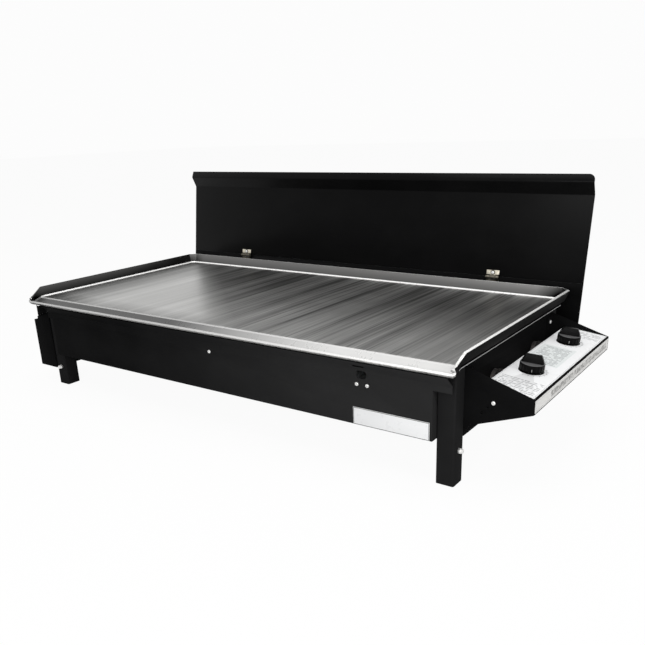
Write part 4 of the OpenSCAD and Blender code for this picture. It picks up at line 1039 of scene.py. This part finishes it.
# The rear guard: a folded sheet bolted to the rear panel, which carries the lid's hinges behind the plate.
lid_black = powder_coated(
    "lid_satin_black", dark=(0.0024, 0.0024, 0.0025), dusty_and_lit=(0.0038, 0.0038, 0.0039), gloss=0.30, matt=0.38,
    shine=0.05, peel_height=0.00006,
)
finished("rear_guard", "root", lid_black, edge=0.0001, steps=1)
finished("guard_bolts", "root", zinc, edge=0.0004)


# The hinges: pressed steel leaves with rolled knuckles, zinc-plated with a warm cast, turning on plain pins. The
# knuckles and the dished ring round each screw in the upper leaves are darkened: painted shade.
knuckle_top_z = 0.2586
dish_r = 0.0056
warm_zinc, tree, skin = new_material("warm_zinc_plate", metallic=1.0)
cast = object_noise(tree, (140, 140, 140), 4.0, 0.6)
along, _, high = place_axes(tree)
hinge_shade_mask = combine(tree, "LESS_THAN", high, knuckle_top_z)
for low, top in loose_parts("lid_screws"):
    dx = combine(tree, "SUBTRACT", along, (low.x + top.x) / 2)
    dz = combine(tree, "SUBTRACT", high, (low.z + top.z) / 2)
    reach = combine(tree, "ADD", combine(tree, "MULTIPLY", dx, dx), combine(tree, "MULTIPLY", dz, dz))
    hinge_shade_mask = combine(tree, "MAXIMUM", hinge_shade_mask, combine(tree, "LESS_THAN", reach, dish_r ** 2))
plated = blend_colors(tree, cast, (0.44, 0.40, 0.31), (0.74, 0.70, 0.60))
tree.links.new(over(tree, plated, hinge_shade_mask, (0.055, 0.05, 0.04), 0.9), skin.inputs["Base Color"])
roughen(tree, skin, cast, 0.3, 0.7, 0.30, 0.46)
bump_from(tree, skin, object_noise(tree, (1100, 1100, 1100)), 0.2, 0.0001)
finished("hinge_bases", "root", warm_zinc, edge=0.0004)
finished("hinge_pins", "root", warm_zinc, edge=0.0004)
finished("hinge_leaves", "lid", warm_zinc, edge=0.0004)
finished("lid_screws", "lid", zinc, edge=0.0003)


# The lid: one long black sheet, leaning back when open, with a crease and a stiffening lip along its upper edge.
# Its upper right corner is rounded.
lid_low, lid_high = (Vector(corner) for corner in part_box("lid_panel"))
lid_t = 0.0015
lid_lean = radians(8.2)
lid_foot_place = (0, 0.286413, 0.253)
crease_h = 0.188 / cos(lid_lean)
lid_foot = 0.00175
lip_folds = ((-0.017, crease_h + 0.025), (-0.012, crease_h + 0.042))
fold_r = 0.003
corner_r = 0.014
lid_middle = (lid_low.x + lid_high.x) / 2
bpy.ops.mesh.primitive_plane_add(size=1, location=(lid_middle, 0, (crease_h + lid_foot) / 2), rotation=(pi / 2, 0, 0))
bpy.context.object.scale = (lid_high.x - lid_low.x, crease_h - lid_foot, 1)
apply_place()
lid = start_mesh("lid_sheet")
last = (0.0, crease_h)
for fold in lip_folds:
    pick("EDGE", lambda e: both_ends(e, lambda co: co.z > last[1] - near))
    step = (0, fold[0] - last[0], fold[1] - last[1])
    bpy.ops.mesh.extrude_region_move(TRANSFORM_OT_translate={"value": step})
    last = fold
for height in (crease_h, lip_folds[0][1]):
    pick("EDGE", lambda e: both_ends(e, lambda co: abs(co.z - height) < near))
    bpy.ops.mesh.bevel(offset=fold_r * (0.5 if height == crease_h else 0.8), segments=4, affect="EDGES")
pick("VERT", lambda v: v.co.z > last[1] - near and v.co.x > lid_high.x - near)
bpy.ops.mesh.bevel(offset=corner_r, segments=8, affect="VERTICES")
bpy.ops.mesh.select_all(action="SELECT")
bpy.ops.mesh.normals_make_consistent(inside=False)
bpy.ops.object.mode_set(mode="OBJECT")
if max(lid.data.polygons, key=lambda p: p.area).normal.y > 0:
    lid.data.flip_normals()
apply_modifier(lid, "SOLIDIFY", thickness=lid_t, offset=-1, use_even_offset=True)
apply_modifier(lid, "BEVEL", width=0.0004, segments=2, limit_method="ANGLE", angle_limit=radians(60))
lid.matrix_world = Matrix.Translation(lid_foot_place) @ Matrix.Rotation(-lid_lean, 4, "X")
end_mesh(lid, smooth=radians(25))
dress(lid, "lid_panel", "lid", lid_black)


# The fat tin at the left end: a spout under the gutter's drain hole empties into a folded tin, which slides out of
# its bracket to the front.
finished("drain_spout", "root", gusset_black, edge=0.0004)
finished("tin_bracket", "root", gusset_black)
finished("tin_screws", "root", zinc, edge=0.0004)
finished("fat_tin", "fat_tin_body", gusset_black, edge=0.0006)
